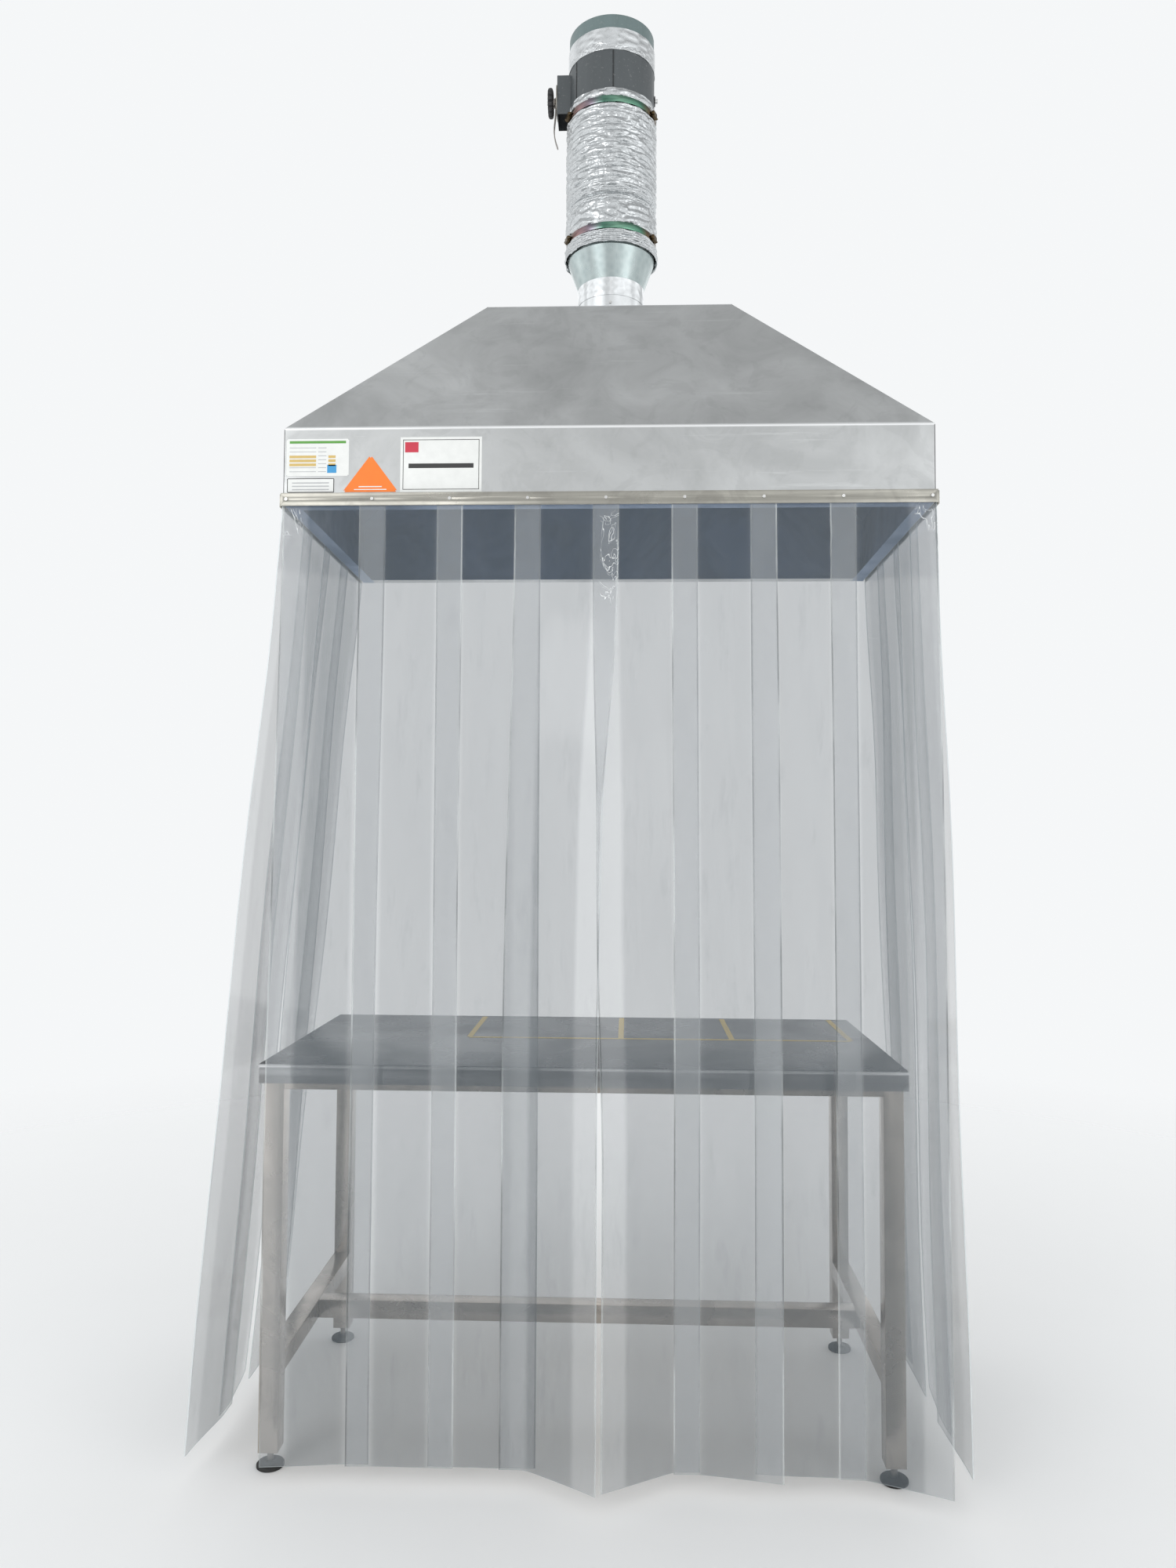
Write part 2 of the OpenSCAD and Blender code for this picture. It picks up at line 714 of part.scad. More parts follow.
canopy_front();
canopy_side(-1);  // canopy_left
canopy_side(1);  // canopy_right
canopy_back();
canopy_top();
front_clamp_rail();
side_clamp_rail(-1);  // left_clamp_rail
side_clamp_rail(1);  // right_clamp_rail
rail_screws();
strip_heads();
for (i = [1 : front_count]) front_strip(i);
for (i = [1 : side_count]) side_strip(i, -1, left_lean);
for (i = [1 : side_count]) side_strip(i, 1, right_lean);
sign_card();
duct_collar();
duct_screw();
collar_tape();
duct_reducer();
flexible_duct();
band_clamp(lower_clamp_z);  // lower_band_clamp
band_clamp(upper_clamp_z);  // upper_band_clamp
damper_casing();
damper_bushes();
damper_blade();
damper_shaft();
damper_standoff();
damper_quadrant();
damper_lever();
damper_lock_knob();
outlet_tape();
exhaust_duct();
bench_top();
bench_core_board();
bench_rails();
bench_legs();
bench_side_stretchers();
bench_cross_stretcher();
leg_plugs();
for (i = [1 : 4]) foot_stem(i);
for (i = [1 : 4]) foot_pad(i);
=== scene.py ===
import json
import math
import random

import bpy
import bmesh
from mathutils import Matrix, Vector


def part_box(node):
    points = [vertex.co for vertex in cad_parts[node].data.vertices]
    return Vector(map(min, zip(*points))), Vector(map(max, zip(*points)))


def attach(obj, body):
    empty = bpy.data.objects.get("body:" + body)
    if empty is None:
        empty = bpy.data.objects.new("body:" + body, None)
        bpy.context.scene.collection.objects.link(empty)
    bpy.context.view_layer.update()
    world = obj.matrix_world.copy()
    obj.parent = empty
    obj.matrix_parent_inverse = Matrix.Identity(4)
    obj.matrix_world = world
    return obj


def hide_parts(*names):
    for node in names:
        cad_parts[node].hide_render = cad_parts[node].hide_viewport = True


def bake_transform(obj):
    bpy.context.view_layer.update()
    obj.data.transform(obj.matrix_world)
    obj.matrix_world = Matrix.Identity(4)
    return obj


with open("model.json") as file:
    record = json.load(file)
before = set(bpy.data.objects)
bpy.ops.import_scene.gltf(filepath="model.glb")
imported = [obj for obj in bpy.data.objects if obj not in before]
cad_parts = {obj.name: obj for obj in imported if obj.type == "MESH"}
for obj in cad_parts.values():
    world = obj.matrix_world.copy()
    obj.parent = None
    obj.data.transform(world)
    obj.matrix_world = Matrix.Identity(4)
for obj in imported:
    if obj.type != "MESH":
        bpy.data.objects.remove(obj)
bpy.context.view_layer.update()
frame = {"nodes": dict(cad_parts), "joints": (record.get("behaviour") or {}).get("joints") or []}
NODES = frame["nodes"]
JOINTS = {joint["name"]: joint for joint in frame["joints"]}
UP = Vector((0, 0, 1))

# ---- places taken from the frame
FRONT_LO, FRONT_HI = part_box("canopy_front")
WALL_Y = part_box("canopy_back")[1].y
PLATE_LO, PLATE_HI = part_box("canopy_top")
MID = Vector(((FRONT_LO.x + FRONT_HI.x) / 2, (FRONT_LO.y + WALL_Y) / 2, 0))
CANOPY_W = FRONT_HI.x - FRONT_LO.x
CANOPY_D = WALL_Y - FRONT_LO.y
SKIRT_Z = FRONT_LO.z
TOP_Z = PLATE_LO.z
SKIRT_H = 0.152
EAVE_Z = SKIRT_Z + SKIRT_H
SHEET = 0.0012
LIP = 0.03
DUCT = (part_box("exhaust_duct")[0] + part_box("exhaust_duct")[1]) / 2
BENCH_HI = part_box("bench_top")[1]


def at(x, y, z):
    """A point measured from the canopy's middle, in the row frame."""
    return Vector((MID.x + x, MID.y + y, z))


def add_object(name, data):
    """A new object in the scene."""
    made = bpy.data.objects.new(name, data)
    bpy.context.scene.collection.objects.link(made)
    return made


def finished(work, name):
    """The mesh of a bmesh that needs no more work."""
    mesh = bpy.data.meshes.new(name)
    work.to_mesh(mesh)
    work.free()
    return mesh


# ---- camera
CAMERA_PLACE = (0.0447, -2.4268, 1.1944)
CAMERA_ANGLES = (-0.0364, 0.0492, 0.0050)
CAMERA_LENS = 25.55


def add_camera():
    """The photograph's own view: close to the hood at chest height, with a wide lens."""
    yaw, pitch, roll = CAMERA_ANGLES
    level = math.cos(pitch)
    ahead = Vector((math.sin(yaw) * level, math.cos(yaw) * level, math.sin(pitch)))
    side = ahead.cross(UP).normalized()
    top = side.cross(ahead)
    right = side * math.cos(roll) + top * math.sin(roll)
    head = top * math.cos(roll) - side * math.sin(roll)
    data = bpy.data.cameras.new("camera")
    data.sensor_fit = "VERTICAL"
    data.sensor_height = 36
    data.lens = CAMERA_LENS
    camera = add_object("camera", data)
    turn = Matrix((right, head, -ahead)).transposed()
    camera.matrix_world = Matrix.Translation(at(*CAMERA_PLACE)) @ turn.to_4x4()
    bpy.context.scene.camera = camera


# ---- materials
class Nodes:
    """A short way to write a node tree over one kind of coordinates."""

    def __init__(self, tree, coords):
        self.tree = tree
        self.coords = tree.nodes.new("ShaderNodeTexCoord").outputs[coords]

    def node(self, kind, **inputs):
        made = self.tree.nodes.new("ShaderNode" + kind)
        for name, value in inputs.items():
            self.put(made, name, value)
        return made

    def put(self, node, name, value):
        socket = node.inputs[name]
        if isinstance(value, bpy.types.NodeSocket):
            self.tree.links.new(value, socket)
        else:
            socket.default_value = value

    def stretched(self, scale):
        return self.node("Mapping", Vector=self.coords, Scale=scale).outputs["Vector"]

    def axis(self, letter):
        return self.node("SeparateXYZ", Vector=self.coords).outputs[letter]

    def noise(self, scale, detail=4.0, where=None, rough=0.55, distortion=0.0):
        made = self.node("TexNoise", Vector=where or self.coords, Scale=scale, Detail=detail)
        made.inputs["Roughness"].default_value = rough
        made.inputs["Distortion"].default_value = distortion
        return made.outputs["Fac"]

    def remap(self, value, low, high, new_low=0.0, new_high=1.0):
        made = self.node("MapRange", Value=value)
        ends = {"From Min": low, "From Max": high, "To Min": new_low, "To Max": new_high}
        for name, number in ends.items():
            made.inputs[name].default_value = number
        return made.outputs["Result"]

    def blend(self, factor, a, b):
        made = self.tree.nodes.new("ShaderNodeMix")
        made.data_type = "RGBA"
        self.put(made, 0, factor)
        for index, value in ((6, a), (7, b)):
            self.put(made, index, value if isinstance(value, bpy.types.NodeSocket) else (*value, 1))
        return made.outputs[2]

    def maths(self, kind, a, b=0.0):
        made = self.tree.nodes.new("ShaderNodeMath")
        made.operation = kind
        self.put(made, 0, a)
        self.put(made, 1, b)
        return made.outputs[0]


class Shader(Nodes):
    """A node material in the row frame's coordinates."""

    def __init__(self, name):
        self.material = bpy.data.materials.new(name)
        self.material.use_nodes = True
        super().__init__(self.material.node_tree, "Object")
        self.bsdf = self.tree.nodes["Principled BSDF"]

    def set(self, **values):
        for name, value in values.items():
            self.put(self.bsdf, name.replace("_", " "), value)

    def attribute(self, name):
        made = self.node("Attribute")
        made.attribute_name = name
        return made.outputs["Fac"]

    def bump(self, height, strength, distance, normal=None):
        made = self.node("Bump", Height=height, Strength=strength, Distance=distance)
        if normal is not None:
            self.put(made, "Normal", normal)
        self.set(Normal=made.outputs["Normal"])
        return made.outputs["Normal"]


def scaled(colour, factor, lift=0.0):
    """A colour made darker or lighter."""
    return tuple(min(c * factor + lift, 1) for c in colour)


# painted shade colours: bluish for the canopy's inner faces, dark grey for the worktop's upward
# face
CANOPY_INNER_SHADE = ((0.080, 0.140, 0.255), (0.200, 0.285, 0.440))
WORKTOP_TOP_SHADE = ((0.085, 0.089, 0.095), (0.120, 0.125, 0.132))


def stainless(
    name, base, grain, rough=0.36, inward=None, smudge=0.5, highlight_z=None, brushing=0.12,
    film=CANOPY_INNER_SHADE,
):
    """Brushed stainless sheet with soft smudges. The side that faces the inward direction gets
    painted shade in the film colours, and a painted highlight line runs along the bend at a given
    height."""
    s = Shader(name)
    lines = s.noise(90.0, 3.0, s.stretched(grain))
    patches = s.noise(5.5, 5.0, rough=0.6, distortion=0.6)
    stains = s.remap(s.noise(11.0, 6.0, rough=0.65, distortion=1.2), 0.52, 0.6)
    colour = s.blend(s.remap(patches, 0.3, 0.72), scaled(base, 0.80), scaled(base, 1.10))
    colour = s.blend(s.maths("MULTIPLY", stains, 0.35 * smudge), colour, scaled(base, 0.6))
    scratches = s.remap(s.noise(36.0, 6.0, s.stretched(grain), rough=0.75), 0.60, 0.68)
    colour = s.blend(s.maths("MULTIPLY", scratches, 0.3), colour, scaled(base, 1.35))
    roughness = s.remap(patches, 0.3, 0.7, rough + 0.08, rough - 0.06)
    # painted highlight: a bright line along the given height
    if highlight_z is not None:
        away = s.maths("ABSOLUTE", s.maths("SUBTRACT", s.axis("Z"), highlight_z))
        colour = s.blend(s.remap(away, 0.004, 0.0015), colour, (0.86, 0.87, 0.87))
    # painted shade: faces that turn the inward way take the darker film colours
    if inward is not None:
        facing = s.node("VectorMath")
        facing.operation = "DOT_PRODUCT"
        s.put(facing, 0, s.node("NewGeometry").outputs["Normal"])
        s.put(facing, 1, inward)
        inside = s.remap(facing.outputs["Value"], 0.05, 0.25)
        colour = s.blend(inside, colour, s.blend(s.remap(patches, 0.38, 0.6), *film))
        roughness = s.maths("ADD", roughness, s.maths("MULTIPLY", inside, 0.12))
    s.set(Base_Color=colour, Metallic=0.92, Roughness=roughness)
    s.bump(lines, brushing, 0.0006)
    return s.material


def clear_vinyl():
    """Clear strip: mostly see-through, paler where strips overlap, with scuffs and a gloss, painted
    highlights on its creases, and painted highlights and shade along its cut edges.
    """
    s = Shader("clear_vinyl")
    overlap, rim, crease = s.attribute("overlap"), s.attribute("rim"), s.attribute("crease")
    scuffs = s.noise(6.0, 6.0, s.stretched((2.5, 2.5, 0.55)), rough=0.6, distortion=0.4)
    wisps = s.remap(s.noise(28.0, 5.0, s.stretched((1.0, 1.0, 0.25)), rough=0.7), 0.55, 0.75)
    # painted highlights: thin white squiggles on the creased parts, which also make the sheet less
    # clear there
    squiggle = s.noise(13.0, 2.0, s.stretched((2.6, 2.6, 1.0)), rough=0.55, distortion=1.4)
    line = s.remap(s.maths("ABSOLUTE", s.maths("SUBTRACT", squiggle, 0.5)), 0.008, 0.003)
    crease_highlight = s.maths("MULTIPLY", line, s.remap(crease, 0.3, 0.7))
    haze = s.remap(scuffs, 0.3, 0.75, 0.275, 0.31)
    haze = s.maths("ADD", haze, s.maths("MULTIPLY", overlap, -0.04))
    haze = s.maths("ADD", haze, s.maths("MULTIPLY", wisps, 0.04))
    haze = s.maths("ADD", haze, s.maths("MULTIPLY", rim, 0.10))
    haze = s.maths("ADD", haze, s.maths("MULTIPLY", crease_highlight, 0.6))
    plain = s.blend(scuffs, (0.125, 0.150, 0.168), (0.165, 0.190, 0.208))
    lapped = s.blend(scuffs, (0.30, 0.325, 0.345), (0.375, 0.40, 0.415))
    colour = s.blend(overlap, plain, lapped)
    # painted highlights and painted shade along the cut edges: a slow noise picks dark or bright
    glint = s.remap(s.noise(3.0, 2.0), 0.42, 0.58)
    rim_colour = s.blend(glint, (0.10, 0.115, 0.12), (0.62, 0.65, 0.65))
    colour = s.blend(rim, colour, rim_colour)
    colour = s.blend(crease_highlight, colour, (0.95, 0.97, 0.97))
    s.set(Base_Color=colour, Roughness=0.14, IOR=1.5, Alpha=haze)
    s.bump(s.noise(14.0, 2.0, s.stretched((1.0, 1.0, 0.4))), 0.25, 0.004)
    s.material.diffuse_color = (0.8, 0.85, 0.88, 0.3)
    return s.material


def vinyl_edge():
    """The strip's cut edge, which gathers light."""
    s = Shader("vinyl_edge")
    streaks = s.noise(60.0, 2.0, s.stretched((1.0, 1.0, 0.05)))
    colour = s.blend(streaks, (0.50, 0.56, 0.58), (0.85, 0.90, 0.91))
    s.set(Base_Color=colour, Roughness=0.2, Alpha=0.72)
    return s.material


def foil(name, crease, rough=0.24, base=(0.70, 0.72, 0.73), smooth_above=None, fine_bump=0.5):
    """Crinkled aluminium foil, which may be drawn smooth and dull above a given height."""
    s = Shader(name)
    cells = s.node("TexVoronoi", Vector=s.coords, Scale=crease)
    cells.feature = "DISTANCE_TO_EDGE"
    folds = s.remap(cells.outputs["Distance"], 0.0, 0.22)
    fine = s.noise(crease * 2.2, 4.0, rough=0.7)
    s.set(
        Base_Color=s.blend(fine, scaled(base, 0.78), base),
        Metallic=1.0,
        Roughness=s.remap(fine, 0.3, 0.7, rough - 0.06, rough + 0.12),
    )
    strength = 0.55
    if smooth_above is not None:
        wavy = s.maths("ADD", s.axis("Z"), s.maths("MULTIPLY", s.noise(9.0, 2.0), 0.03))
        low, high = smooth_above + 0.012, smooth_above + 0.018
        fine_bump = strength = s.remap(wavy, low, high, strength, 0.06)
    first = s.bump(folds, strength, 0.0012)
    s.bump(fine, fine_bump, 0.0012, first)
    return s.material


def tinted_steel():
    """Band steel whose colour turns from brown through violet to green across the duct, with
    painted shade at both ends where the strap turns edge-on.
    """
    s = Shader("band_steel")
    ramp = s.node("ValToRGB")
    unevenness = s.maths("MULTIPLY", s.maths("SUBTRACT", s.noise(12.0, 2.0), 0.5), 0.03)
    place = s.maths("ADD", s.maths("SUBTRACT", s.axis("X"), DUCT.x), unevenness)
    s.put(ramp, 0, s.remap(place, -0.11, 0.11))
    stops = ramp.color_ramp.elements
    # painted shade: dark brown at both ends of the ramp, where the strap turns edge-on
    stops[0].position, stops[0].color = 0.10, (0.07, 0.045, 0.025, 1)
    stops[1].position, stops[1].color = 0.90, (0.09, 0.06, 0.03, 1)
    for position, colour in BAND_COLOURS:
        stops.new(position).color = (*colour, 1)
    s.set(Base_Color=ramp.outputs[0], Metallic=1.0, Roughness=0.2)
    s.bump(s.noise(90.0, 2.0), 0.08, 0.0004)
    return s.material


def galvanised():
    """Zinc-coated sheet with a faint spangle and upright streaks."""
    s = Shader("galvanised")
    spangle = s.node("TexVoronoi", Vector=s.coords, Scale=70.0)
    streaks = s.noise(24.0, 2.0, s.stretched((1.0, 1.0, 0.08)))
    colour = s.blend(streaks, (0.30, 0.36, 0.36), (0.46, 0.53, 0.53))
    flecks = s.maths("MULTIPLY", spangle.outputs["Distance"], 0.5)
    colour = s.blend(flecks, colour, (0.56, 0.62, 0.61))
    s.set(Base_Color=colour, Metallic=0.85, Roughness=s.remap(streaks, 0.3, 0.7, 0.34, 0.22))
    s.bump(spangle.outputs["Distance"], 0.06, 0.0008)
    return s.material


def painted(name, base, rough=0.45):
    """Grey coated sheet with faint upright drag marks and dust."""
    s = Shader(name)
    drags = s.noise(30.0, 3.0, s.stretched((1.0, 1.0, 0.12)))
    dust = s.noise(160.0, 2.0)
    colour = s.blend(drags, scaled(base, 0.8), scaled(base, 1.2))
    colour = s.blend(s.remap(dust, 0.62, 0.8, 0.0, 0.25), colour, (0.5, 0.5, 0.48))
    roughness = s.remap(drags, 0.3, 0.7, rough + 0.06, rough - 0.06)
    s.set(Base_Color=colour, Metallic=0.35, Roughness=roughness)
    s.bump(dust, 0.08, 0.0005)
    return s.material


def moulded(name, base, rough=0.5):
    """Moulded plastic or rubber with a fine grain and rubbed high spots."""
    s = Shader(name)
    grain = s.noise(420.0, 2.0)
    rubbed = s.noise(18.0, 3.0)
    colour = s.blend(s.remap(rubbed, 0.45, 0.75), base, scaled(base, 1.8, 0.02))
    s.set(Base_Color=colour, Roughness=s.remap(rubbed, 0.3, 0.7, rough, rough + 0.15))
    s.bump(grain, 0.15, 0.0004)
    return s.material


def board():
    """Pressed board with visible chips."""
    s = Shader("core_board")
    chips = s.noise(120.0, 4.0)
    s.set(Base_Color=s.blend(chips, (0.30, 0.20, 0.11), (0.55, 0.41, 0.26)), Roughness=0.8)
    s.bump(chips, 0.3, 0.001)
    return s.material


def printed(name, base, rough=0.4):
    """Printed film or card: an even colour with faint print unevenness."""
    s = Shader(name)
    press = s.noise(60.0, 3.0)
    s.set(Base_Color=s.blend(s.remap(press, 0.3, 0.7), scaled(base, 0.94), base), Roughness=rough)
    s.bump(press, 0.03, 0.0003)
    return s.material


STEEL = (0.51, 0.52, 0.52)
RAIL_STEEL = (0.35, 0.34, 0.305)
TUBE_STEEL = (0.52, 0.475, 0.43)
COLLAR_STEEL = (0.80, 0.82, 0.83)
# the direction of the grain: the short scale lies along it
GRAIN_X, GRAIN_Y, GRAIN_Z = (0.06, 1.0, 1.0), (1.0, 0.06, 1.0), (1.0, 1.0, 0.06)
NO_GRAIN = (1.0, 1.0, 1.0)
# the band's colours from brown through violet to green across the duct, as (place on the ramp,
# colour)
BAND_COLOURS = [
    (0.17, (0.30, 0.19, 0.19)),
    (0.30, (0.22, 0.19, 0.23)),
    (0.42, (0.09, 0.20, 0.15)),
    (0.58, (0.16, 0.30, 0.22)),
    (0.82, (0.09, 0.21, 0.15)),
]
MATERIALS = {
    # the back and the top: painted shade on their inner faces
    "canopy_back": stainless("canopy_back_steel", STEEL, GRAIN_X, inward=(0, -1, 0)),
    "canopy_top": stainless("canopy_top_steel", STEEL, GRAIN_X, inward=(0, 0, -1)),
    "rail": stainless("rail_steel", RAIL_STEEL, (0.05, 1.0, 1.0), rough=0.3, smudge=0.9),
    "side_rail": stainless("side_rail_steel", RAIL_STEEL, (1.0, 0.05, 1.0), rough=0.3, smudge=0.9),
    "collar": stainless("collar_steel", COLLAR_STEEL, GRAIN_Z, rough=0.22),
    "band": tinted_steel(),
    "bolt": stainless("bolt_steel", (0.72, 0.72, 0.71), NO_GRAIN, rough=0.22, smudge=0.2),
    "brass": stainless("plated_screw", (0.10, 0.07, 0.035), NO_GRAIN, rough=0.3, smudge=0.2),
    "zinc": stainless("zinc_plate", (0.40, 0.38, 0.34), NO_GRAIN, rough=0.34, smudge=0.2),
    "lever": stainless("lever_steel", (0.30, 0.28, 0.26), NO_GRAIN, rough=0.3, smudge=0.2),
    # the worktop: painted shade on its upward face, and a painted highlight line along its front
    # edge
    "worktop": stainless(
        "worktop_steel", (0.30, 0.305, 0.31), (0.05, 1.0, 1.0), rough=0.16, smudge=0.6,
        inward=(0, 0, 1), highlight_z=BENCH_HI.z - 0.004, brushing=0.02, film=WORKTOP_TOP_SHADE,
    ),
    "tube": stainless("tube_steel", TUBE_STEEL, (1.0, 1.0, 0.05), rough=0.24, smudge=1.1),
    "bar": stainless("bar_steel", TUBE_STEEL, (0.05, 1.0, 1.0), rough=0.24, smudge=1.1),
    "vinyl": clear_vinyl(),
    "vinyl_edge": vinyl_edge(),
    "tape": foil("foil_tape", 85.0, smooth_above=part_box("outlet_tape")[1].z - 0.035),
    "collar_tape": stainless("collar_tape_foil", COLLAR_STEEL, (1.0, 1.0, 0.04), rough=0.2),
    "flex": foil("flex_foil", 60.0, rough=0.25, base=(0.60, 0.62, 0.63), fine_bump=0.3),
    "galvanised": galvanised(),
    "casing": painted("damper_grey", (0.085, 0.095, 0.100)),
    "seam": painted("seam_grey", (0.030, 0.033, 0.035)),
    "exhaust": painted("exhaust_green_grey", (0.15, 0.20, 0.20), rough=0.4),
    "black": moulded("black_plastic", (0.018, 0.018, 0.019)),
    "pad": moulded("foot_rubber", (0.012, 0.012, 0.012), rough=0.6),
    "board": board(),
    "card": printed("card_white", (0.78, 0.79, 0.77)),
    "frame_ink": printed("ink_black", (0.03, 0.03, 0.03)),
    "red_ink": printed("ink_red", (0.55, 0.03, 0.06)),
    "green_ink": printed("ink_green", (0.10, 0.32, 0.05)),
    "tan_ink": printed("ink_tan", (0.62, 0.44, 0.14)),
    "blue_ink": printed("ink_blue", (0.04, 0.30, 0.60)),
    "grey_ink": printed("ink_grey", (0.45, 0.46, 0.47)),
    "orange_ink": printed("ink_orange", (0.90, 0.20, 0.015)),
    "yellow": printed("tape_yellow", (0.75, 0.52, 0.05), rough=0.35),
}
# the canopy panels: painted shade on their inner faces, and a painted highlight line along the eave
# bend
for side, grain, inward in (
    ("front", GRAIN_X, (0, 0.9, -0.4)),
    ("left", GRAIN_Y, (0.9, 0, -0.4)),
    ("right", GRAIN_Y, (-0.9, 0, -0.4)),
):
    name = f"canopy_{side}"
    MATERIALS[name] = stainless(name + "_steel", STEEL, grain, inward=inward, highlight_z=EAVE_Z)


# ---- mesh helpers
def add_mesh(name, points, faces, materials, marks=None):
    """A new object from points and faces. materials is one name or several, and marks says
    which of them each face has."""
    mesh = bpy.data.meshes.new(name)
    mesh.from_pydata([tuple(p) for p in points], [], faces)
    names = [materials] if isinstance(materials, str) else materials
    for material in names:
        mesh.materials.append(MATERIALS[material])
    if marks is not None:
        mesh.polygons.foreach_set("material_index", marks)
    mesh.polygons.foreach_set("use_smooth", [True] * len(faces))
    mesh.validate()
    return add_object(name, mesh)


def grid_shell(outer, inner, name, materials, closed=False, marks_edge=False):
    """A thin closed shell between two grids of points of the same size, rows by columns.
    A closed one joins its last column to its first. marks_edge gives the rim its own material."""
    rows, columns = len(outer), len(outer[0])
    points = [p for row in outer for p in row] + [p for row in inner for p in row]
    half = rows * columns
    faces = []
    marks = []
    last = columns if closed else columns - 1
    for r in range(rows - 1):
        for c in range(last):
            d = (c + 1) % columns
            a, b = r * columns + c, r * columns + d
            e, f = b + columns, a + columns
            faces += [(a, b, e, f), (half + f, half + e, half + b, half + a)]
            marks += [0, 0]
    for c in range(last):
        d = (c + 1) % columns
        bottom = (rows - 1) * columns
        a, b = bottom + c, bottom + d
        faces += [(c, half + c, half + d, d), (a, b, half + b, half + a)]
        marks += [1, 1]
    if not closed:
        for r in range(rows - 1):
            a, b = r * columns, (r + 1) * columns
            faces.append((a, b, half + b, half + a))
            a, b = a + columns - 1, b + columns - 1
            faces.append((a, half + a, half + b, b))
            marks += [1, 1]
    return add_mesh(name, points, faces, materials, marks=marks if marks_edge else None)


def sharpen(piece, degrees):
    """Marks edges sharper than an angle, so that smooth shading keeps them crisp."""
    work = bmesh.new()
    work.from_mesh(piece.data)
    bmesh.ops.recalc_face_normals(work, faces=work.faces)
    for edge in work.edges:
        if len(edge.link_faces) == 2 and edge.calc_face_angle(0) > math.radians(degrees):
            edge.smooth = False
    work.to_mesh(piece.data)
    work.free()


def softened(node, material, width, segments=2):
    """A copy of a CAD node's mesh with its edges rounded, which stands for the node."""
    piece = add_object(node + "_look", NODES[node].data.copy())
    work = bmesh.new()
    work.from_mesh(piece.data)
    bmesh.ops.remove_doubles(work, verts=work.verts, dist=1e-6)
    bmesh.ops.dissolve_limit(work, angle_limit=math.radians(1), verts=work.verts, edges=work.edges)
    work.to_mesh(piece.data)
    work.free()
    piece.data.materials.clear()
    piece.data.materials.append(MATERIALS[material])
    bevel = piece.modifiers.new("edges", "BEVEL")
    bevel.width = width
    bevel.segments = segments
    bevel.limit_method = "ANGLE"
    bevel.angle_limit = math.radians(35)
    graph = bpy.context.evaluated_depsgraph_get()
    mesh = bpy.data.meshes.new_from_object(piece.evaluated_get(graph))
    piece.modifiers.clear()
    piece.data = mesh
    mesh.polygons.foreach_set("use_smooth", [True] * len(mesh.polygons))
    sharpen(piece, 40)
    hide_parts(node)
    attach(piece, "hood")


def dress(node, material):
    """Gives a CAD node its material."""
    data = NODES[node].data
    data.materials.clear()
    data.materials.append(MATERIALS[material])


def smooth(value):
    """An even step from 0 to 1."""
    value = min(max(value, 0.0), 1.0)
    return value * value * (3 - 2 * value)


# ---- canopy
BEND_R = 0.0035
PANEL_COLUMNS = 48
PANEL_STEP = 0.03
PANEL_WAVE = 0.0007


def rounded_path(corners, radius=BEND_R, steps=5):
    """A polyline with its inner corners rounded by arcs, as (along, up) pairs."""
    path = [Vector(corners[0])]
    for before, corner, after in zip(corners, corners[1:], corners[2:]):
        corner = Vector(corner)
        back = (Vector(before) - corner).normalized()
        ahead = (Vector(after) - corner).normalized()
        reach = radius / math.tan(back.angle(ahead) / 2)
        start, end = corner + back * reach, corner + ahead * reach
        for k in range(steps + 1):
            t = k / steps
            path.append(start * (1 - t) ** 2 + corner * (2 * t * (1 - t)) + end * t**2)
    path.append(Vector(corners[-1]))
    return path


def folded_panel(name, half, top_half, width_at, place, node):
    """One side of the canopy: lip, skirt and slope folded from one sheet.
    half and top_half are its distances from the axis, width_at gives its two ends at a distance
    and height, and place turns (across, out, up) into a point."""
    corners = [(half - LIP, SKIRT_Z), (half, SKIRT_Z), (half, EAVE_Z), (top_half, TOP_Z)]
    path = rounded_path(corners)
    dense = []
    for a, b in zip(path, path[1:]):
        count = max(1, int((b - a).length / PANEL_STEP))
        dense += [a.lerp(b, k / count) for k in range(count)]
    dense.append(path[-1])
    outer, inner = [], []
    for k, point in enumerate(dense):
        before, after = dense[max(k - 1, 0)], dense[min(k + 1, len(dense) - 1)]
        along = (after - before).normalized()
        normal = Vector((along.y, -along.x))
        low, high = width_at(point.x, point.y)
        rows = ([], [])
        for c in range(PANEL_COLUMNS + 1):
            share = c / PANEL_COLUMNS
            across = low + (high - low) * share
            calm = math.sin(math.pi * share)
            calm = calm * smooth((point.y - EAVE_Z) / 0.05) * smooth((TOP_Z - point.y) / 0.05)
            wave = PANEL_WAVE * math.sin(7.3 * across + 2.1)
            wave = wave * math.sin(19.0 * point.y + 3.0 * across) * calm
            for row, depth in zip(rows, (0.0, SHEET)):
                spot = point - normal * (depth - wave)
                row.append(place(across, spot.x, spot.y))
        outer.append(rows[0])
        inner.append(rows[1])
    piece = grid_shell(outer, inner, name, node)
    sharpen(piece, 50)
    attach(piece, "hood")
    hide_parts(node)


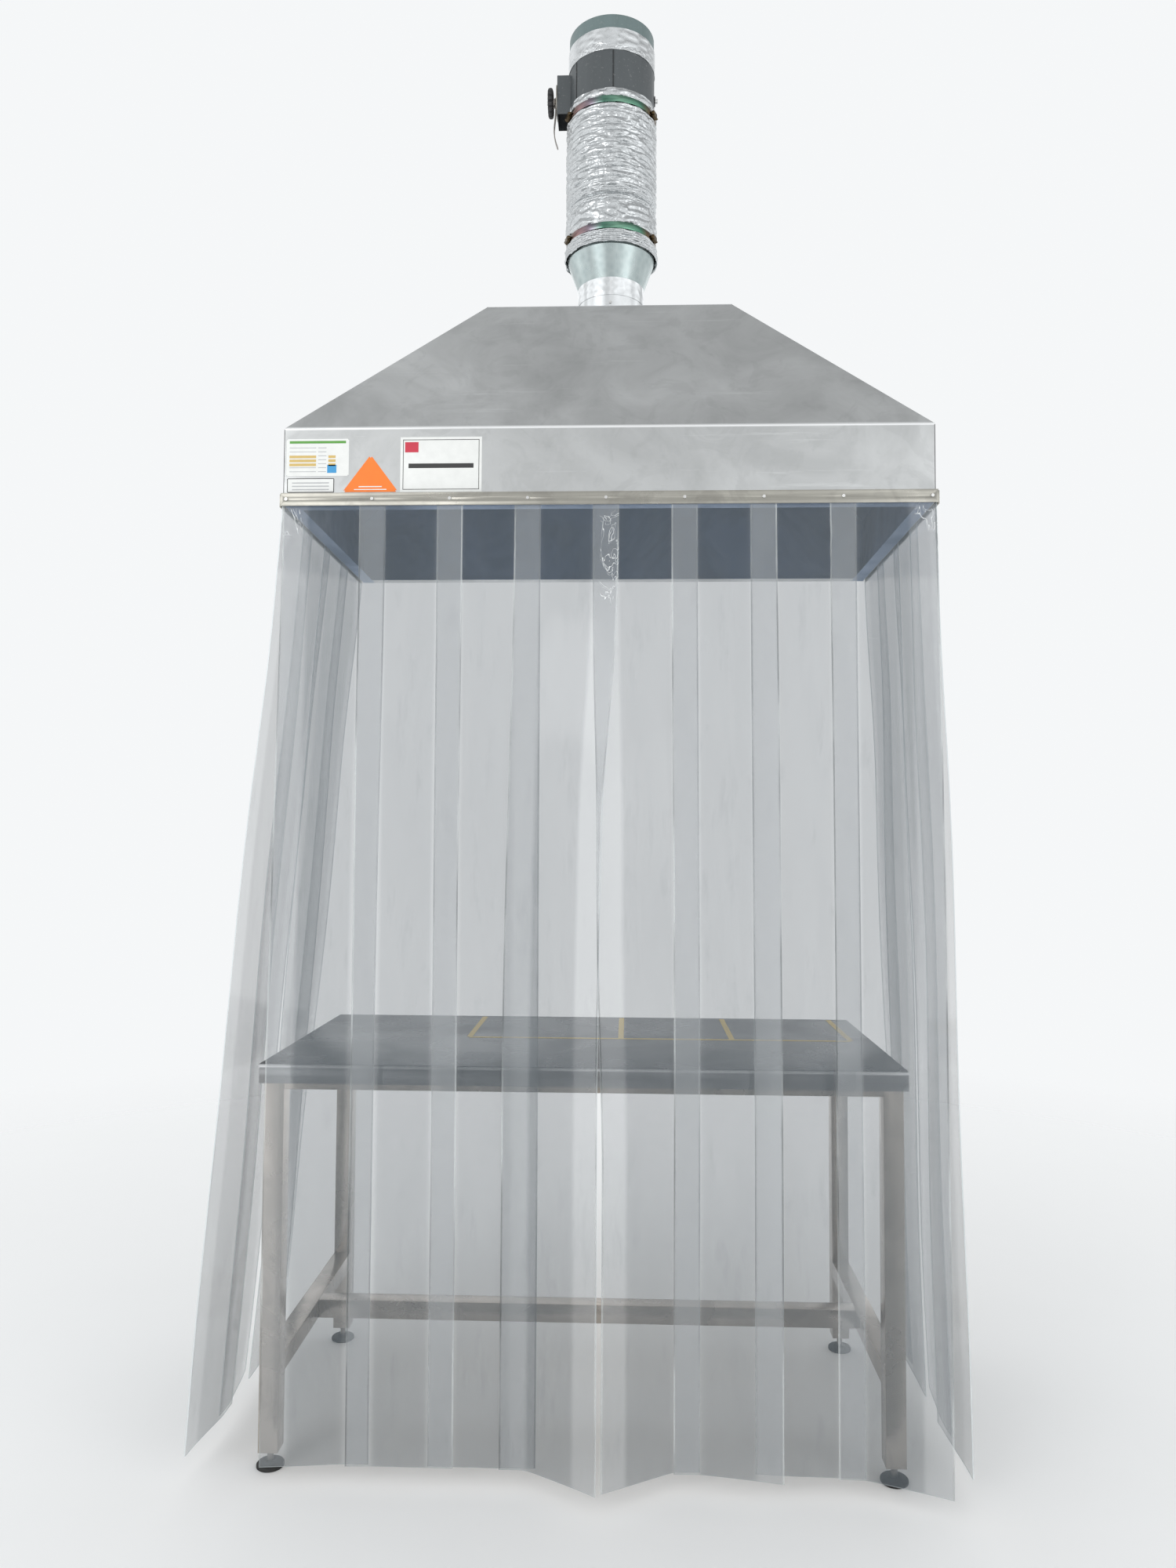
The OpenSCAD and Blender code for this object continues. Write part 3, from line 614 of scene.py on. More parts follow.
def add_canopy():
    """The three folded panels; the back and the top keep their CAD shapes."""
    half_w, half_d = CANOPY_W / 2, CANOPY_D / 2
    top_w = (PLATE_HI.x - PLATE_LO.x) / 2
    top_front = half_d - (PLATE_HI.y - PLATE_LO.y)
    run_x, run_y = half_w - top_w, half_d + top_front

    def front_ends(out, up):
        inset = max(0.0, (half_d - out) / run_y * run_x) if up > EAVE_Z - 0.01 else half_d - out
        return -half_w + inset, half_w - inset

    def side_ends(out, up):
        inset = max(0.0, (half_w - out) / run_x * run_y) if up > EAVE_Z - 0.01 else half_w - out
        return -half_d + inset, half_d - SHEET

    def front(across, out, up):
        return at(across, -out, up)

    folded_panel("front_panel", half_d, -top_front, front_ends, front, "canopy_front")
    for side, word in ((-1, "left"), (1, "right")):

        def beside(across, out, up, side=side):
            return at(side * out, across, up)

        folded_panel(word + "_panel", half_w, top_w, side_ends, beside, "canopy_" + word)
    dress("canopy_back", "canopy_back")
    dress("canopy_top", "canopy_top")


# ---- curtain
STRIP_W = 0.2
STRIP_T = 0.002
STRIP_LAP = 0.05
STRIP_RIM = 0.0026
STRIP_PLACES = [0.0, STRIP_RIM, STRIP_RIM + 0.0006]
STRIP_PLACES += [STRIP_W * k / 22 for k in range(1, 22)]
STRIP_PLACES += [STRIP_W - STRIP_RIM - 0.0006, STRIP_W - STRIP_RIM, STRIP_W]
STRIP_HEAD = 0.0263
STRIP_FOOT_Z = 0.035
STRIP_ROWS = 160
CREASE_DROP = 0.07
FIRST_SEED = 11


class Strip:
    """How one strip hangs: its lean and turn in degrees, and how far its foot has moved along
    the curtain. A positive turn stands the far edge outward and a negative one the near edge,
    and the other edge stays flat. The turn grows over reach metres, and late is the share of it
    that comes only lower down. A crinkle creases the strip near the rail; at full strength it
    brings painted highlights to the near corner if negative and the far one if positive, and below
    that to a band inside the far edge."""

    def __init__(self, lean=0.0, turn=0.0, along=0.0, reach=0.62, late=0.0, crinkle=0.0):
        self.lean, self.turn, self.along = math.radians(lean), math.radians(turn), along
        self.reach, self.late, self.crinkle = reach, late, crinkle

    def turn_at(self, drop):
        """How far it has turned at a distance below the rail."""
        early = smooth(drop / self.reach) * (1 - self.late)
        return abs(self.turn) * (early + self.late * smooth((drop - 0.75) / 0.5))


FRONT_STRIPS = [
    Strip(turn=-7, along=-0.008, crinkle=-1.0),
    Strip(),
    Strip(along=0.002),
    Strip(turn=30.5, along=-0.015, crinkle=0.7),
    Strip(turn=-30, along=0.005, late=0.36),
    Strip(turn=8.5, along=0.006),
    Strip(along=0.006),
    Strip(turn=20, along=0.006, crinkle=1.0),
]
LEFT_STRIPS = [
    Strip(lean=4.4, turn=-8, reach=1.8),
    Strip(lean=4.4, turn=6, reach=1.5),
    Strip(lean=4.4, along=0.004),
    Strip(lean=4.4, turn=8, reach=1.4),
]
RIGHT_STRIPS = [
    Strip(lean=1.45, turn=-3, reach=1.8),
    Strip(lean=1.5, turn=5, reach=1.5),
    Strip(lean=1.5, along=0.003),
    Strip(lean=1.5, turn=6, reach=1.4),
]


def curtain_wave(place, drop):
    """A slow wave that all strips of a side share, so that overlapping strips stay apart."""
    long_wave = 0.0040 * math.sin(2.6 * drop + 4.0 * place + 0.5)
    return smooth(drop / 0.5) * (long_wave + 0.0022 * math.sin(6.3 * drop - 7.0 * place + 2.0))


def crease_mark(shape, edge, drop):
    """Where painted highlights mark the creases: at an upper corner, or in a band down the strip.
    """
    edge = edge * shape.crinkle
    if abs(shape.crinkle) == 1:
        return smooth((edge - 0.45) / 0.3) * smooth(drop / 0.01) * smooth((0.07 - drop) / 0.03)
    band = smooth((0.20 - abs(edge - 0.60)) / 0.1)
    return band * smooth(drop / 0.02) * smooth((0.22 - drop) / 0.05)


def strip_profile(shape, drop):
    """One row across a strip as (along, outward, slope) triples: one overlap stays flat,
    and the rest turns."""
    turn = shape.turn_at(drop)
    side = 1 if shape.turn >= 0 else -1
    soft = 0.03
    along, outward = -STRIP_W / 2, 0.0
    row = []
    for here, there in zip(STRIP_PLACES, STRIP_PLACES[1:] + [STRIP_W]):
        row.append((side * along, outward, side * turn * smooth((here - STRIP_LAP) / soft + 0.5)))
        bend = turn * smooth(((here + there) / 2 - STRIP_LAP) / soft + 0.5)
        along += (there - here) * math.cos(bend)
        outward += (there - here) * math.sin(bend)
    return row if side > 0 else row[::-1]


def add_strip(name, shape, across, outward, outer_layer, seed):
    """One strip as a thin bent sheet hung from its clamped head. Strips of the inner layer bend
    only inward where their neighbours lap them, and strips of the outer layer only outward."""
    pivot = Vector(JOINTS[name + "_swing"]["pos_m"])
    length = pivot.z - STRIP_FOOT_Z
    draw = random.Random(seed)
    phases = [draw.uniform(0, 2 * math.pi) for _ in range(4)]
    way = 1 if outer_layer else -1
    outer, inner, overlap, rim, crease_highlights = [], [], [], [], []
    for r in range(STRIP_ROWS + 1):
        fall = -STRIP_HEAD + (length + STRIP_HEAD) * r / STRIP_ROWS
        drop = max(fall, 0.0)
        share = drop / length
        free = smooth(drop / 0.5)
        centre = pivot - UP * fall
        if drop > 0:
            centre = pivot - UP * drop * math.cos(shape.lean)
            centre = centre + outward * drop * math.sin(shape.lean)
        centre = centre + across * shape.along * smooth(share * 1.6)
        lines = ([], [])
        for width, (place, out, slope) in zip(STRIP_PLACES, strip_profile(shape, drop)):
            edge = 2 * width / STRIP_W - 1
            spread = 0.0011 * free * way
            sway = 0.5 + 0.5 * math.sin(3.1 * drop + phases[0] + 2 * edge)
            lift = 0.0035 * free * abs(edge) ** 3 * sway
            pinch = abs(shape.crinkle) * math.exp(-(((drop - CREASE_DROP) / 0.055) ** 2))
            pinch = pinch * smooth(drop / 0.03)
            folds = 0.5 + 0.5 * math.sin(150 * drop * (1 + 0.3 * edge) + 40 * edge + phases[1])
            crease = 0.0045 * pinch * abs(edge) ** 2 * folds
            wave = curtain_wave((centre + across * place).dot(across), drop)
            proud = out + wave + spread + way * (lift + crease)
            spot = centre + across * place + outward * proud
            normal = outward * math.cos(slope) - across * math.sin(slope)
            for line, face in zip(lines, (1, -1)):
                line.append(spot + normal * (face * STRIP_T / 2))
            from_middle = abs(edge) * STRIP_W / 2
            overlap.append(smooth((from_middle - 0.044) / 0.010))
            rim.append(1.0 if from_middle > STRIP_W / 2 - STRIP_RIM - 0.0003 else 0.0)
            # painted highlights on the creases
            crease_highlights.append(crease_mark(shape, edge, drop))
        outer.append(lines[0])
        inner.append(lines[1])
    piece = grid_shell(outer, inner, name + "_sheet", ["vinyl", "vinyl_edge"], marks_edge=True)
    for word, values in (("overlap", overlap), ("rim", rim), ("crease", crease_highlights)):
        layer = piece.data.attributes.new(word, "FLOAT", "POINT")
        layer.data.foreach_set("value", values + values)
    sharpen(piece, 60)
    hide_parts(name)
    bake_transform(piece)
    return piece


def add_curtain():
    """All strips of the three sides; each runs up into its clamped head, and the CAD heads are
    hidden.
    """
    pieces = []
    for side, across, outward, shapes in (
        ("front", Vector((1, 0, 0)), Vector((0, -1, 0)), FRONT_STRIPS),
        ("left", Vector((0, 1, 0)), Vector((-1, 0, 0)), LEFT_STRIPS),
        ("right", Vector((0, 1, 0)), Vector((1, 0, 0)), RIGHT_STRIPS),
    ):
        for number, shape in enumerate(shapes, 1):
            name = f"{side}_strip_{number}"
            seed = FIRST_SEED + len(pieces)
            pieces.append(add_strip(name, shape, across, outward, number % 2 == 0, seed))
    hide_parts("strip_heads")


def add_rails():
    softened("front_clamp_rail", "rail", 0.0008)
    for side in ("left", "right"):
        softened(side + "_clamp_rail", "side_rail", 0.0008)
    dress("rail_screws", "bolt")


# ---- duct
FOIL_T = 0.0008
TAPE_T = 0.0004
TAPE_STEPS = 36
FLEX_STEPS = 300
CUFF_R = 0.1052
BAND_R = 0.1046
BAND_H = 0.0145
BAND_T = 0.0012
BAND_JOINS = [math.radians(-158), math.radians(-22)]
SEAM_R = 0.1004
SEAM_DEGREES = (-87, -143, 20, 95, 160)
# the lever's blade as (drop, outward, share of its width)
LEVER_PATH = [
    (-0.0105, 0.0, 0.9), (-0.008, 0.0, 1.0), (0.015, 0.0, 1.0), (0.032, 0.0006, 1.0),
    (0.048, 0.0022, 1.0), (0.062, 0.0034, 0.98), (0.074, 0.0034, 0.95), (0.086, 0.0020, 0.90),
    (0.097, -0.0006, 0.84), (0.106, -0.0036, 0.76), (0.110, -0.0052, 0.6),
]
# the knob's wheel as (share of its radius, distance from its back)
KNOB_PROFILE = [
    (0.35, 0.0002), (0.80, 0.0004), (0.95, 0.0020), (1.0, 0.0045), (1.0, 0.0085),
    (0.96, 0.0112), (0.86, 0.0128), (0.74, 0.0126), (0.60, 0.0104), (0.42, 0.0100),
    (0.34, 0.0112), (0.24, 0.0128), (0.19, 0.0128),
]
KNOB_COLUMNS = 256
KNOB_FLUTES = 16


def round_duct(radius, angle, height):
    """A point on a circle about the duct's axis."""
    return Vector((DUCT.x + radius * math.cos(angle), DUCT.y + radius * math.sin(angle), height))


def ring_shell(
    name, material, profile, columns, node, thickness, crinkle=0.0, seed=1, waves=24
):
    """A turned thin shell about the duct's axis from (radius, height) pairs. Crinkle is the depth
    of its dents, which are sums of waves drawn at random."""
    draw = random.Random(seed)
    dents = []
    for _ in range(waves):
        up, way = draw.uniform(90, 420), draw.choice((-1, 1))
        dents.append((up, way * draw.randint(2, 22), draw.uniform(0, 6.28)))
    outer, inner = [], []
    for radius, height in profile:
        lines = ([], [])
        for c in range(columns):
            angle = 2 * math.pi * c / columns
            dent = 0.0
            if crinkle:
                waved = (math.sin(up * height + way * angle + start) for up, way, start in dents)
                total = sum(waved)
                dent = crinkle * math.tanh(total / 4.0)
            for line, depth in zip(lines, (0.0, thickness)):
                line.append(round_duct(radius + dent - depth, angle, height))
        outer.append(lines[0])
        inner.append(lines[1])
    piece = grid_shell(outer, inner, name, material, closed=True)
    sharpen(piece, 70)
    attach(piece, "hood")
    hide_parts(node)
    return piece


def flex_profile():
    """The flexible duct's radius with height: uneven pleats, squeezed rings, a smooth cuff
    above the lower band, folded rings at both ends, and a groove under each band."""
    low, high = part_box("flexible_duct")[0].z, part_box("flexible_duct")[1].z
    lower, upper = band_middle("lower_band_clamp"), band_middle("upper_band_clamp")
    profile = []
    for k in range(FLEX_STEPS + 1):
        z = low + (high - low) * k / FLEX_STEPS
        ring = (z - low) / 0.0125 + 0.35 * math.sin(37 * z)
        depth = 0.0010 + 0.0022 * (math.sin(91.7 * math.floor(ring + 0.5)) * 0.5 + 0.5)
        radius = 0.1048 - depth * abs(math.cos(math.pi * ring)) ** 8
        squeezed = smooth((z - lower - 0.058) / 0.006) * smooth((lower + 0.100 - z) / 0.006)
        radius += squeezed * (0.0018 * math.sin(2 * math.pi * z / 0.0088) - 0.0022)
        calm = smooth((z - lower - 0.006) / 0.004) * smooth((lower + 0.056 - z) / 0.008)
        radius += calm * (CUFF_R + 0.0006 * math.sin(2 * math.pi * z / 0.019) - radius)
        if z < lower - 0.007:
            radius = CUFF_R + 0.0017 * math.sin(2 * math.pi * (z - low) / 0.0087)
            radius += 0.0010 * (lower - z) / 0.033
        if z > upper + 0.007:
            radius = 0.1040 + 0.0016 * math.sin(math.pi * (z - upper - 0.008) / 0.012)
        for band in (lower, upper):
            radius += smooth((0.011 - abs(z - band)) / 0.004) * (0.1022 - radius)
        profile.append((radius, z))
    return profile


def band_middle(node):
    """The height of a band's middle."""
    lo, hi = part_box(node)
    return (lo.z + hi.z) / 2


def duct_turn(angle, height):
    """The frame of a spot round the duct, whose X points outward."""
    return Matrix.Translation((DUCT.x, DUCT.y, height)) @ Matrix.Rotation(angle, 4, "Z")


def band_piece(name, node):
    """A worm-drive band in one piece: a strap round the cuff with a slotted screw in a housing
    at each join."""
    middle = band_middle(node)
    low, high = middle - BAND_H / 2, middle + BAND_H / 2
    inner_r, edge = BAND_R - 0.0004, 0.0008
    profile = [(inner_r, low), (BAND_R, low + edge), (BAND_R, high - edge), (inner_r, high)]
    strap = ring_shell(name, "band", profile, 160, node, BAND_T)
    strap.data.materials.append(MATERIALS["brass"])
    work = bmesh.new()
    work.from_mesh(strap.data)
    for angle in BAND_JOINS:
        turn = duct_turn(angle, middle)
        housing = turn @ Matrix.Translation((BAND_R + 0.0030, 0, 0))
        screw = turn @ Matrix.Translation((BAND_R + 0.0032, 0.003, 0))
        screw = screw @ Matrix.Rotation(math.pi / 2, 4, "X")
        join(work, rounded_block((0.0070, 0.020, BAND_H), 0.0018, housing))
        join(work, slotted_screw(screw))
    work.to_mesh(strap.data)
    work.free()
    sharpen(strap, 30)


def join(work, part):
    """Adds a mesh to a bmesh and drops the mesh."""
    work.from_mesh(part)
    bpy.data.meshes.remove(part)


def rounded_block(size, rounding, place):
    """A mesh of a block with rounded edges."""
    work = bmesh.new()
    bmesh.ops.create_cube(work, size=1.0)
    bmesh.ops.scale(work, vec=size, verts=work.verts)
    bmesh.ops.bevel(work, geom=work.edges[:], offset=rounding, segments=3, affect="EDGES")
    return second_part(work, place)


def slotted_screw(place):
    """A mesh of a worm screw: a hexagon head with a sunk recess, and a plain shank."""
    work = bmesh.new()
    shank, head, slot = 0.0026, 0.0042, 0.0008
    rings = [(shank, -0.013), (shank, 0.011), (head, 0.011), (head, 0.0148), (head * 0.86, 0.0156)]
    corners = [math.radians(60 * k) for k in range(6)]
    loops = []
    for radius, height in rings:
        points = [(radius * math.cos(c), radius * math.sin(c), height) for c in corners]
        loops.append([work.verts.new(point) for point in points])
    for below, above in zip(loops, loops[1:]):
        for k in range(6):
            work.faces.new((below[k], below[(k + 1) % 6], above[(k + 1) % 6], above[k]))
    work.faces.new(loops[0][::-1])
    cap = work.faces.new(loops[-1])
    bmesh.ops.inset_region(work, faces=[cap], thickness=slot, depth=0.0)
    bmesh.ops.translate(work, verts=cap.verts, vec=(0, 0, -slot))
    return second_part(work, place)


def second_part(work, place):
    """Moves a bmesh to its place and gives it the second material of the piece it joins."""
    work.transform(place)
    bmesh.ops.recalc_face_normals(work, faces=work.faces)
    for face in work.faces:
        face.material_index = 1
    return finished(work, "second_part")


def add_casing_seams():
    """Upright folded seams on the damper's casing, as one piece."""
    low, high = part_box("flexible_duct")[1].z + 0.004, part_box("outlet_tape")[0].z - 0.001
    work = bmesh.new()
    for degrees in SEAM_DEGREES:
        place = duct_turn(math.radians(degrees), (low + high) / 2)
        place = place @ Matrix.Translation((SEAM_R, 0, 0))
        join(work, rounded_block((0.0012, 0.0034, high - low), 0.0005, place))
    for face in work.faces:
        face.material_index = 0
    mesh = finished(work, "casing_seams")
    mesh.materials.append(MATERIALS["seam"])
    piece = add_object("casing_seams", mesh)
    sharpen(piece, 30)
    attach(piece, "hood")


def add_tape(name, material, node, radius, columns, crinkle, seed):
    """A turn of foil tape round the duct."""
    lo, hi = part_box(node)
    heights = [lo.z + (hi.z - lo.z) * k / TAPE_STEPS for k in range(TAPE_STEPS + 1)]
    profile = [(radius, z) for z in heights]
    ring_shell(name, material, profile, columns, node, TAPE_T, crinkle, seed)


def add_duct():
    """Everything above the canopy: the detailed pieces, and the CAD nodes that keep their shape."""
    ring_shell(
        "flex_duct_foil", "flex", flex_profile(), 200, "flexible_duct", FOIL_T,
        crinkle=0.0013, seed=5, waves=44,
    )
    add_tape("lower_foil_tape", "collar_tape", "collar_tape", 0.0767, 200, 0.0002, 8)
    add_tape("upper_foil_tape", "tape", "outlet_tape", 0.1009, 240, 0.0004, 9)
    band_piece("lower_band", "lower_band_clamp")
    band_piece("upper_band", "upper_band_clamp")
    add_casing_seams()
    for node, material in (
        ("duct_collar", "collar"),
        ("duct_screw", "bolt"),
        ("duct_reducer", "galvanised"),
        ("damper_casing", "casing"),
        ("exhaust_duct", "exhaust"),
        ("damper_bushes", "black"),
        ("damper_blade", "galvanised"),
        ("damper_shaft", "bolt"),
        ("damper_standoff", "casing"),
        ("damper_quadrant", "zinc"),
    ):
        dress(node, material)
    add_lever()
    add_knob()


def closed_loops(name, loops, material, smooth_angle):
    """A closed mesh over loops of points, with both ends capped."""
    count = len(loops[0])
    points = [p for loop in loops for p in loop]
    faces = []
    for r in range(len(loops) - 1):
        for k in range(count):
            a, b = r * count + k, r * count + (k + 1) % count
            faces.append((a, b, b + count, a + count))
    last = (len(loops) - 1) * count
    faces += [tuple(range(count))[::-1], tuple(range(last, last + count))]
    piece = add_mesh(name, points, faces, material)
    sharpen(piece, smooth_angle)
    return piece


def upright_circle(x, centre, radius, share):
    """A point on a circle about a line along X."""
    turn = 2 * math.pi * share
    return Vector((x, centre.y + radius * math.cos(turn), centre.z + radius * math.sin(turn)))


def add_lever():
    """The damper's lever: a hub and a thin blade that bows outward and turns in at its tip."""
    lo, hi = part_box("damper_lever")
    centre = (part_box("damper_quadrant")[0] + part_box("damper_quadrant")[1]) / 2
    half_width, half_t = 0.0075, 0.0012
    hub_face = hi.x - 0.0010
    loops = []
    for drop, out, taper in LEVER_PATH:
        x, z = hub_face - out, centre.z - drop
        half = half_width * taper
        corners = ((-half_t, -half), (-half_t, half), (half_t, half), (half_t, -half))
        loops.append([Vector((x + dx, centre.y + dy, z)) for dx, dy in corners])
    blade = closed_loops("damper_lever_blade", loops, "lever", 40)
    bevel = blade.modifiers.new("edges", "BEVEL")
    bevel.width = 0.0005
    bevel.segments = 2
    rings = ((lo.x, 0.0095), (lo.x + 0.0008, 0.0105), (hi.x - 0.0006, 0.0105), (hi.x, 0.0100))
    hub = [[upright_circle(x, centre, radius, k / 48) for k in range(48)] for x, radius in rings]
    boss = closed_loops("damper_lever_hub", hub, "lever", 40)
    for piece in (blade, boss):
        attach(piece, "damper")
        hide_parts("damper_lever")


def add_knob():
    """The lock knob: a fluted wheel with a dished face."""
    lo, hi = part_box("damper_lock_knob")
    centre = (lo + hi) / 2
    radius = (hi.z - lo.z) / 2
    loops = []
    for share, x in KNOB_PROFILE:
        loop = []
        for k in range(KNOB_COLUMNS):
            fluting = max(0.0, math.cos(KNOB_FLUTES * 2 * math.pi * k / KNOB_COLUMNS)) ** 1.5
            notch = 0.13 * fluting * smooth((share - 0.72) / 0.12)
            r = radius * share * (1 - notch)
            loop.append(upright_circle(hi.x - x, centre, r, k / KNOB_COLUMNS))
        loops.append(loop)
    piece = closed_loops("lock_knob_wheel", loops, "black", 50)
    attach(piece, "lock_knob")
    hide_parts("damper_lock_knob")


# ---- bench
TUBE_ROUNDING = 0.003
MARKING_W = 0.012
MARKING_T = 0.0003


def plate(name, corners, thickness, direction, material, rounding=0.0):
    """A thin flat plate on given corners, standing out by its thickness along a direction."""
    work = bmesh.new()
    low = [work.verts.new(c) for c in corners]
    face = work.faces.new(low)
    if rounding:
        bmesh.ops.bevel(work, geom=work.verts[:], offset=rounding, segments=4, affect="VERTICES")
        work.faces.ensure_lookup_table()
        face = work.faces[0]
    made = bmesh.ops.extrude_face_region(work, geom=[face])
    raised = [g for g in made["geom"] if isinstance(g, bmesh.types.BMVert)]
    bmesh.ops.translate(work, verts=raised, vec=Vector(direction) * thickness)
    bmesh.ops.recalc_face_normals(work, faces=work.faces)
    mesh = finished(work, name)
    mesh.materials.append(MATERIALS[material])
    piece = add_object(name, mesh)
    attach(piece, "hood")


def add_bench():
    """The folded worktop, the tube frame and the levelling feet."""
    softened("bench_top", "worktop", 0.0006)
    softened("bench_legs", "tube", TUBE_ROUNDING, 3)
    for node in ("bench_rails", "bench_side_stretchers", "bench_cross_stretcher"):
        softened(node, "bar", TUBE_ROUNDING, 3)
    dress("bench_core_board", "board")
    dress("leg_plugs", "black")
    for number in range(1, 5):
        dress(f"foot_stem_{number}", "lever")
        dress(f"foot_pad_{number}", "pad")
    add_worktop_tape()


def add_worktop_tape():
    """Yellow marking tape on the rear half of the worktop."""
    z = BENCH_HI.z
    line_y = MID.y + 0.005
    back_y = BENCH_HI.y - 0.012
    left, right = MID.x - 0.30, MID.x + 0.525

    def strip(name, x0, y0, x1, y1):
        corners = [(x0, y0, z), (x1, y0, z), (x1, y1, z), (x0, y1, z)]
        plate(name, corners, MARKING_T, UP, "yellow")

    strip("marking_front", left, line_y, right, line_y + MARKING_W)
    for number, x in enumerate((left, MID.x + 0.03, MID.x + 0.27, right), 1):
        low, high = x - MARKING_W / 2, x + MARKING_W / 2
        strip(f"marking_{number}", low, line_y + MARKING_W, high, back_y)


# ---- labels without any lettering
INK_T = 0.0002
LABEL_T = 0.0003
TRIANGLE_T = 0.0004


def skirt_plate(name, x0, z0, x1, z1, material, lift=0.0, thickness=LABEL_T, rounding=0.0):
    """An upright rectangle on the front skirt, between two corners measured from the middle."""
    y = FRONT_LO.y - lift
    x0, x1 = MID.x + x0, MID.x + x1
    corners = [(x0, y, z0), (x1, y, z0), (x1, y, z1), (x0, y, z1)]
    plate(name, corners, thickness, (0, -1, 0), material, rounding)


def add_labels():
    """The sign, the inspection sticker, a small label and a triangle, with bars for their print."""
    lo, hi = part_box("sign_card")
    softened("sign_card", "card", 0.0002)
    lift = FRONT_LO.y - lo.y
    x0, x1 = lo.x - MID.x, hi.x - MID.x
    z0, z1 = lo.z, hi.z
    inset, line = 0.005, 0.0011
    left, right, low, high = x0 + inset, x1 - inset, z0 + inset, z1 - inset
    for name, *corners in (
        ("bottom", left, low, right, low + line),
        ("top", left, high - line, right, high),
        ("left", left, low, left + line, high),
        ("right", right - line, low, right, high),
    ):
        skirt_plate("card_border_" + name, *corners, "frame_ink", lift, INK_T)
    a, b, c, d = x0 + 0.009, z1 - 0.030, x0 + 0.035, z1 - 0.010
    skirt_plate("card_red_block", a, b, c, d, "red_ink", lift)
    a, b, c, d = x0 + 0.016, z0 + 0.047, x1 - 0.016, z0 + 0.056
    skirt_plate("card_bar", a, b, c, d, "frame_ink", lift, INK_T)

    def ink(name, x0, z0, x1, z1, material, lift=LABEL_T):
        skirt_plate(name, x0, z0, x1, z1, material, lift, INK_T)

    a, b, c, d = -0.620, 1.893, -0.498, 1.966
    skirt_plate("inspection_sticker", a, b, c, d, "card", rounding=0.002)
    ink("inspection_header", a + 0.006, d - 0.009, c - 0.006, d - 0.004, "green_ink")
    for row in range(7):
        z = d - 0.017 - row * 0.0078
        broad = row in (2, 3, 4)
        colour, high = ("tan_ink", 0.0052) if broad else ("grey_ink", 0.0012)
        ink(f"inspection_row_{row + 1}", a + 0.006, z - high, a + 0.058, z, colour)
        ink(f"inspection_note_{row + 1}", a + 0.062, z - 0.0013, a + 0.078, z, "grey_ink")
        if broad:
            ink(f"inspection_tab_{row + 1}", a + 0.082, z - high, a + 0.096, z, "tan_ink")
    ink("inspection_blue", a + 0.080, b + 0.006, a + 0.098, b + 0.022, "blue_ink")

    a, b, c, d = -0.618, 1.8605, -0.526, 1.8885
    rim = 0.0015
    skirt_plate("small_label_rim", a, b, c, d, "frame_ink", rounding=0.001)
    ink("small_label", a + rim, b + rim, c - rim, d - rim, "card")
    for row in range(3):
        z = d - 0.008 - row * 0.0065
        ink(f"small_label_bar_{row + 1}", a + 0.010, z - 0.0022, c - 0.010, z, "grey_ink", 0.0005)

    corners = [(-0.510, 1.861), (-0.401, 1.861), (-0.4555, 1.934)]
    corners = [(MID.x + x, FRONT_LO.y, z) for x, z in corners]
    plate("orange_triangle", corners, TRIANGLE_T, (0, -1, 0), "orange_ink", rounding=0.004)
    ink("triangle_bar_1", -0.478, 1.8705, -0.433, 1.8725, "card", TRIANGLE_T)
    ink("triangle_bar_2", -0.487, 1.8650, -0.424, 1.8668, "card", TRIANGLE_T)


# ---- stage and light
FLOOR_R = 6.0
PLAIN_LIGHT = 0.94


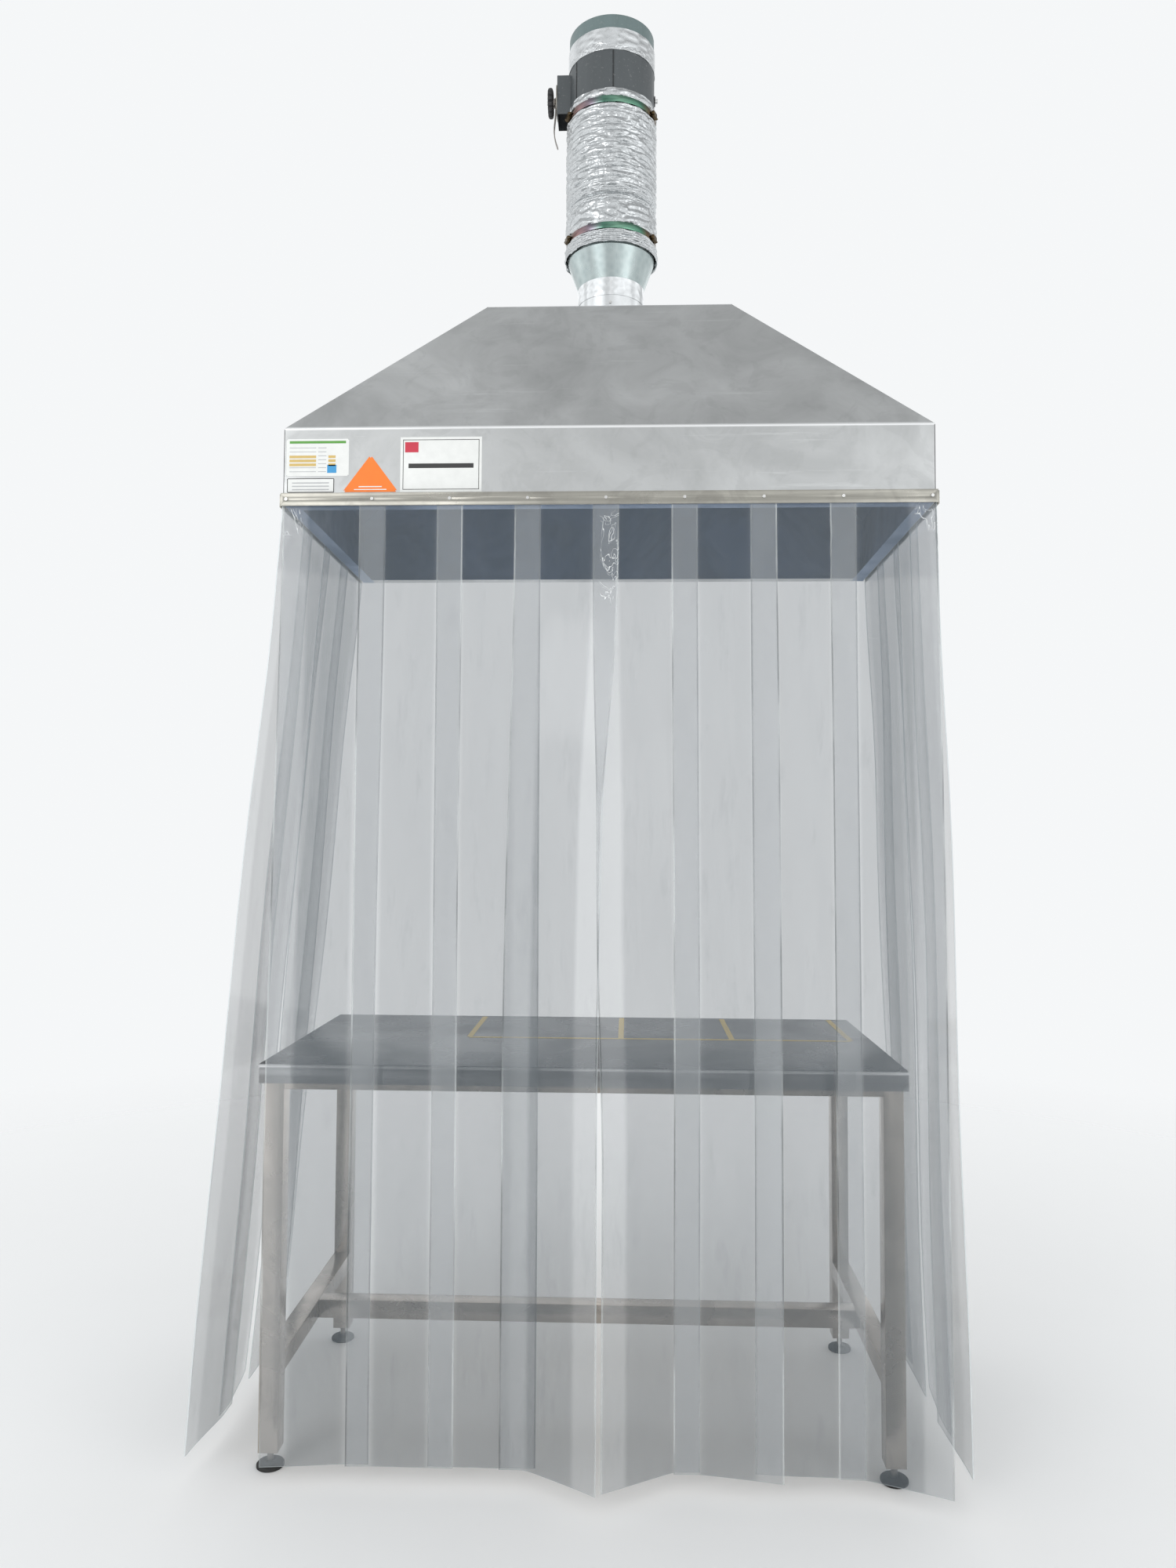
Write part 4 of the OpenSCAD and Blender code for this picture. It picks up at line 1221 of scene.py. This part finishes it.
def add_stage():
    """A round pale floor that fades into the plain background all round."""
    s = Shader("studio_pale")
    across = s.maths("POWER", s.axis("X"), 2.0)
    along = s.maths("POWER", s.axis("Y"), 2.0)
    distance = s.maths("SQRT", s.maths("ADD", across, along))
    colour = s.blend(s.noise(2.0, 3.0), (0.93, 0.935, 0.935), (0.96, 0.965, 0.965))
    s.set(Base_Color=colour, Roughness=0.9, Alpha=s.remap(distance, 4.0, 0.9))
    work = bmesh.new()
    bmesh.ops.create_circle(work, cap_ends=True, segments=96, radius=FLOOR_R)
    mesh = finished(work, "floor")
    mesh.materials.append(s.material)
    add_object("floor", mesh)


def add_light(name, place, target, size, power):
    """A rectangular lamp turned to a target."""
    data = bpy.data.lights.new(name, "AREA")
    data.shape = "RECTANGLE"
    data.size, data.size_y = size
    data.energy = power
    lamp = add_object(name, data)
    lamp.location = place
    lamp.rotation_euler = (Vector(target) - Vector(place)).to_track_quat("-Z", "Y").to_euler()


def add_lights():
    """A soft cloudy surround that is plain where the camera sees it, and two lamps."""
    world = bpy.data.worlds.new("world")
    bpy.context.scene.world = world
    world.use_nodes = True
    s = Nodes(world.node_tree, "Generated")
    sky = s.tree.nodes["Background"]
    height = s.remap(s.axis("Z"), 0.1, 0.95, 1.36, 0.76)
    clouds = s.remap(s.noise(2.2, 2.0, rough=0.5), 0.4, 0.6, 0.55, 1.15)
    plain = s.node("Mix")
    s.put(plain, 0, s.node("LightPath").outputs["Is Camera Ray"])
    s.put(plain, 2, s.maths("MULTIPLY", height, clouds))
    s.put(plain, 3, PLAIN_LIGHT)
    s.put(sky, "Color", (0.975, 0.99, 1.0, 1))
    s.put(sky, "Strength", plain.outputs[0])
    add_light("key", (-2.8, -3.8, 3.0), (0, 0, 1.6), (2.5, 2.0), 42)
    add_light("fill", (3.4, -3.2, 2.2), (0, 0, 1.2), (2.5, 2.5), 22)


# ---- build
add_camera()
add_canopy()
add_curtain()
add_rails()
add_duct()
add_bench()
add_labels()
add_stage()
add_lights()
bpy.context.scene.view_settings.view_transform = "Standard"
bpy.context.scene.cycles.transparent_max_bounces = 40
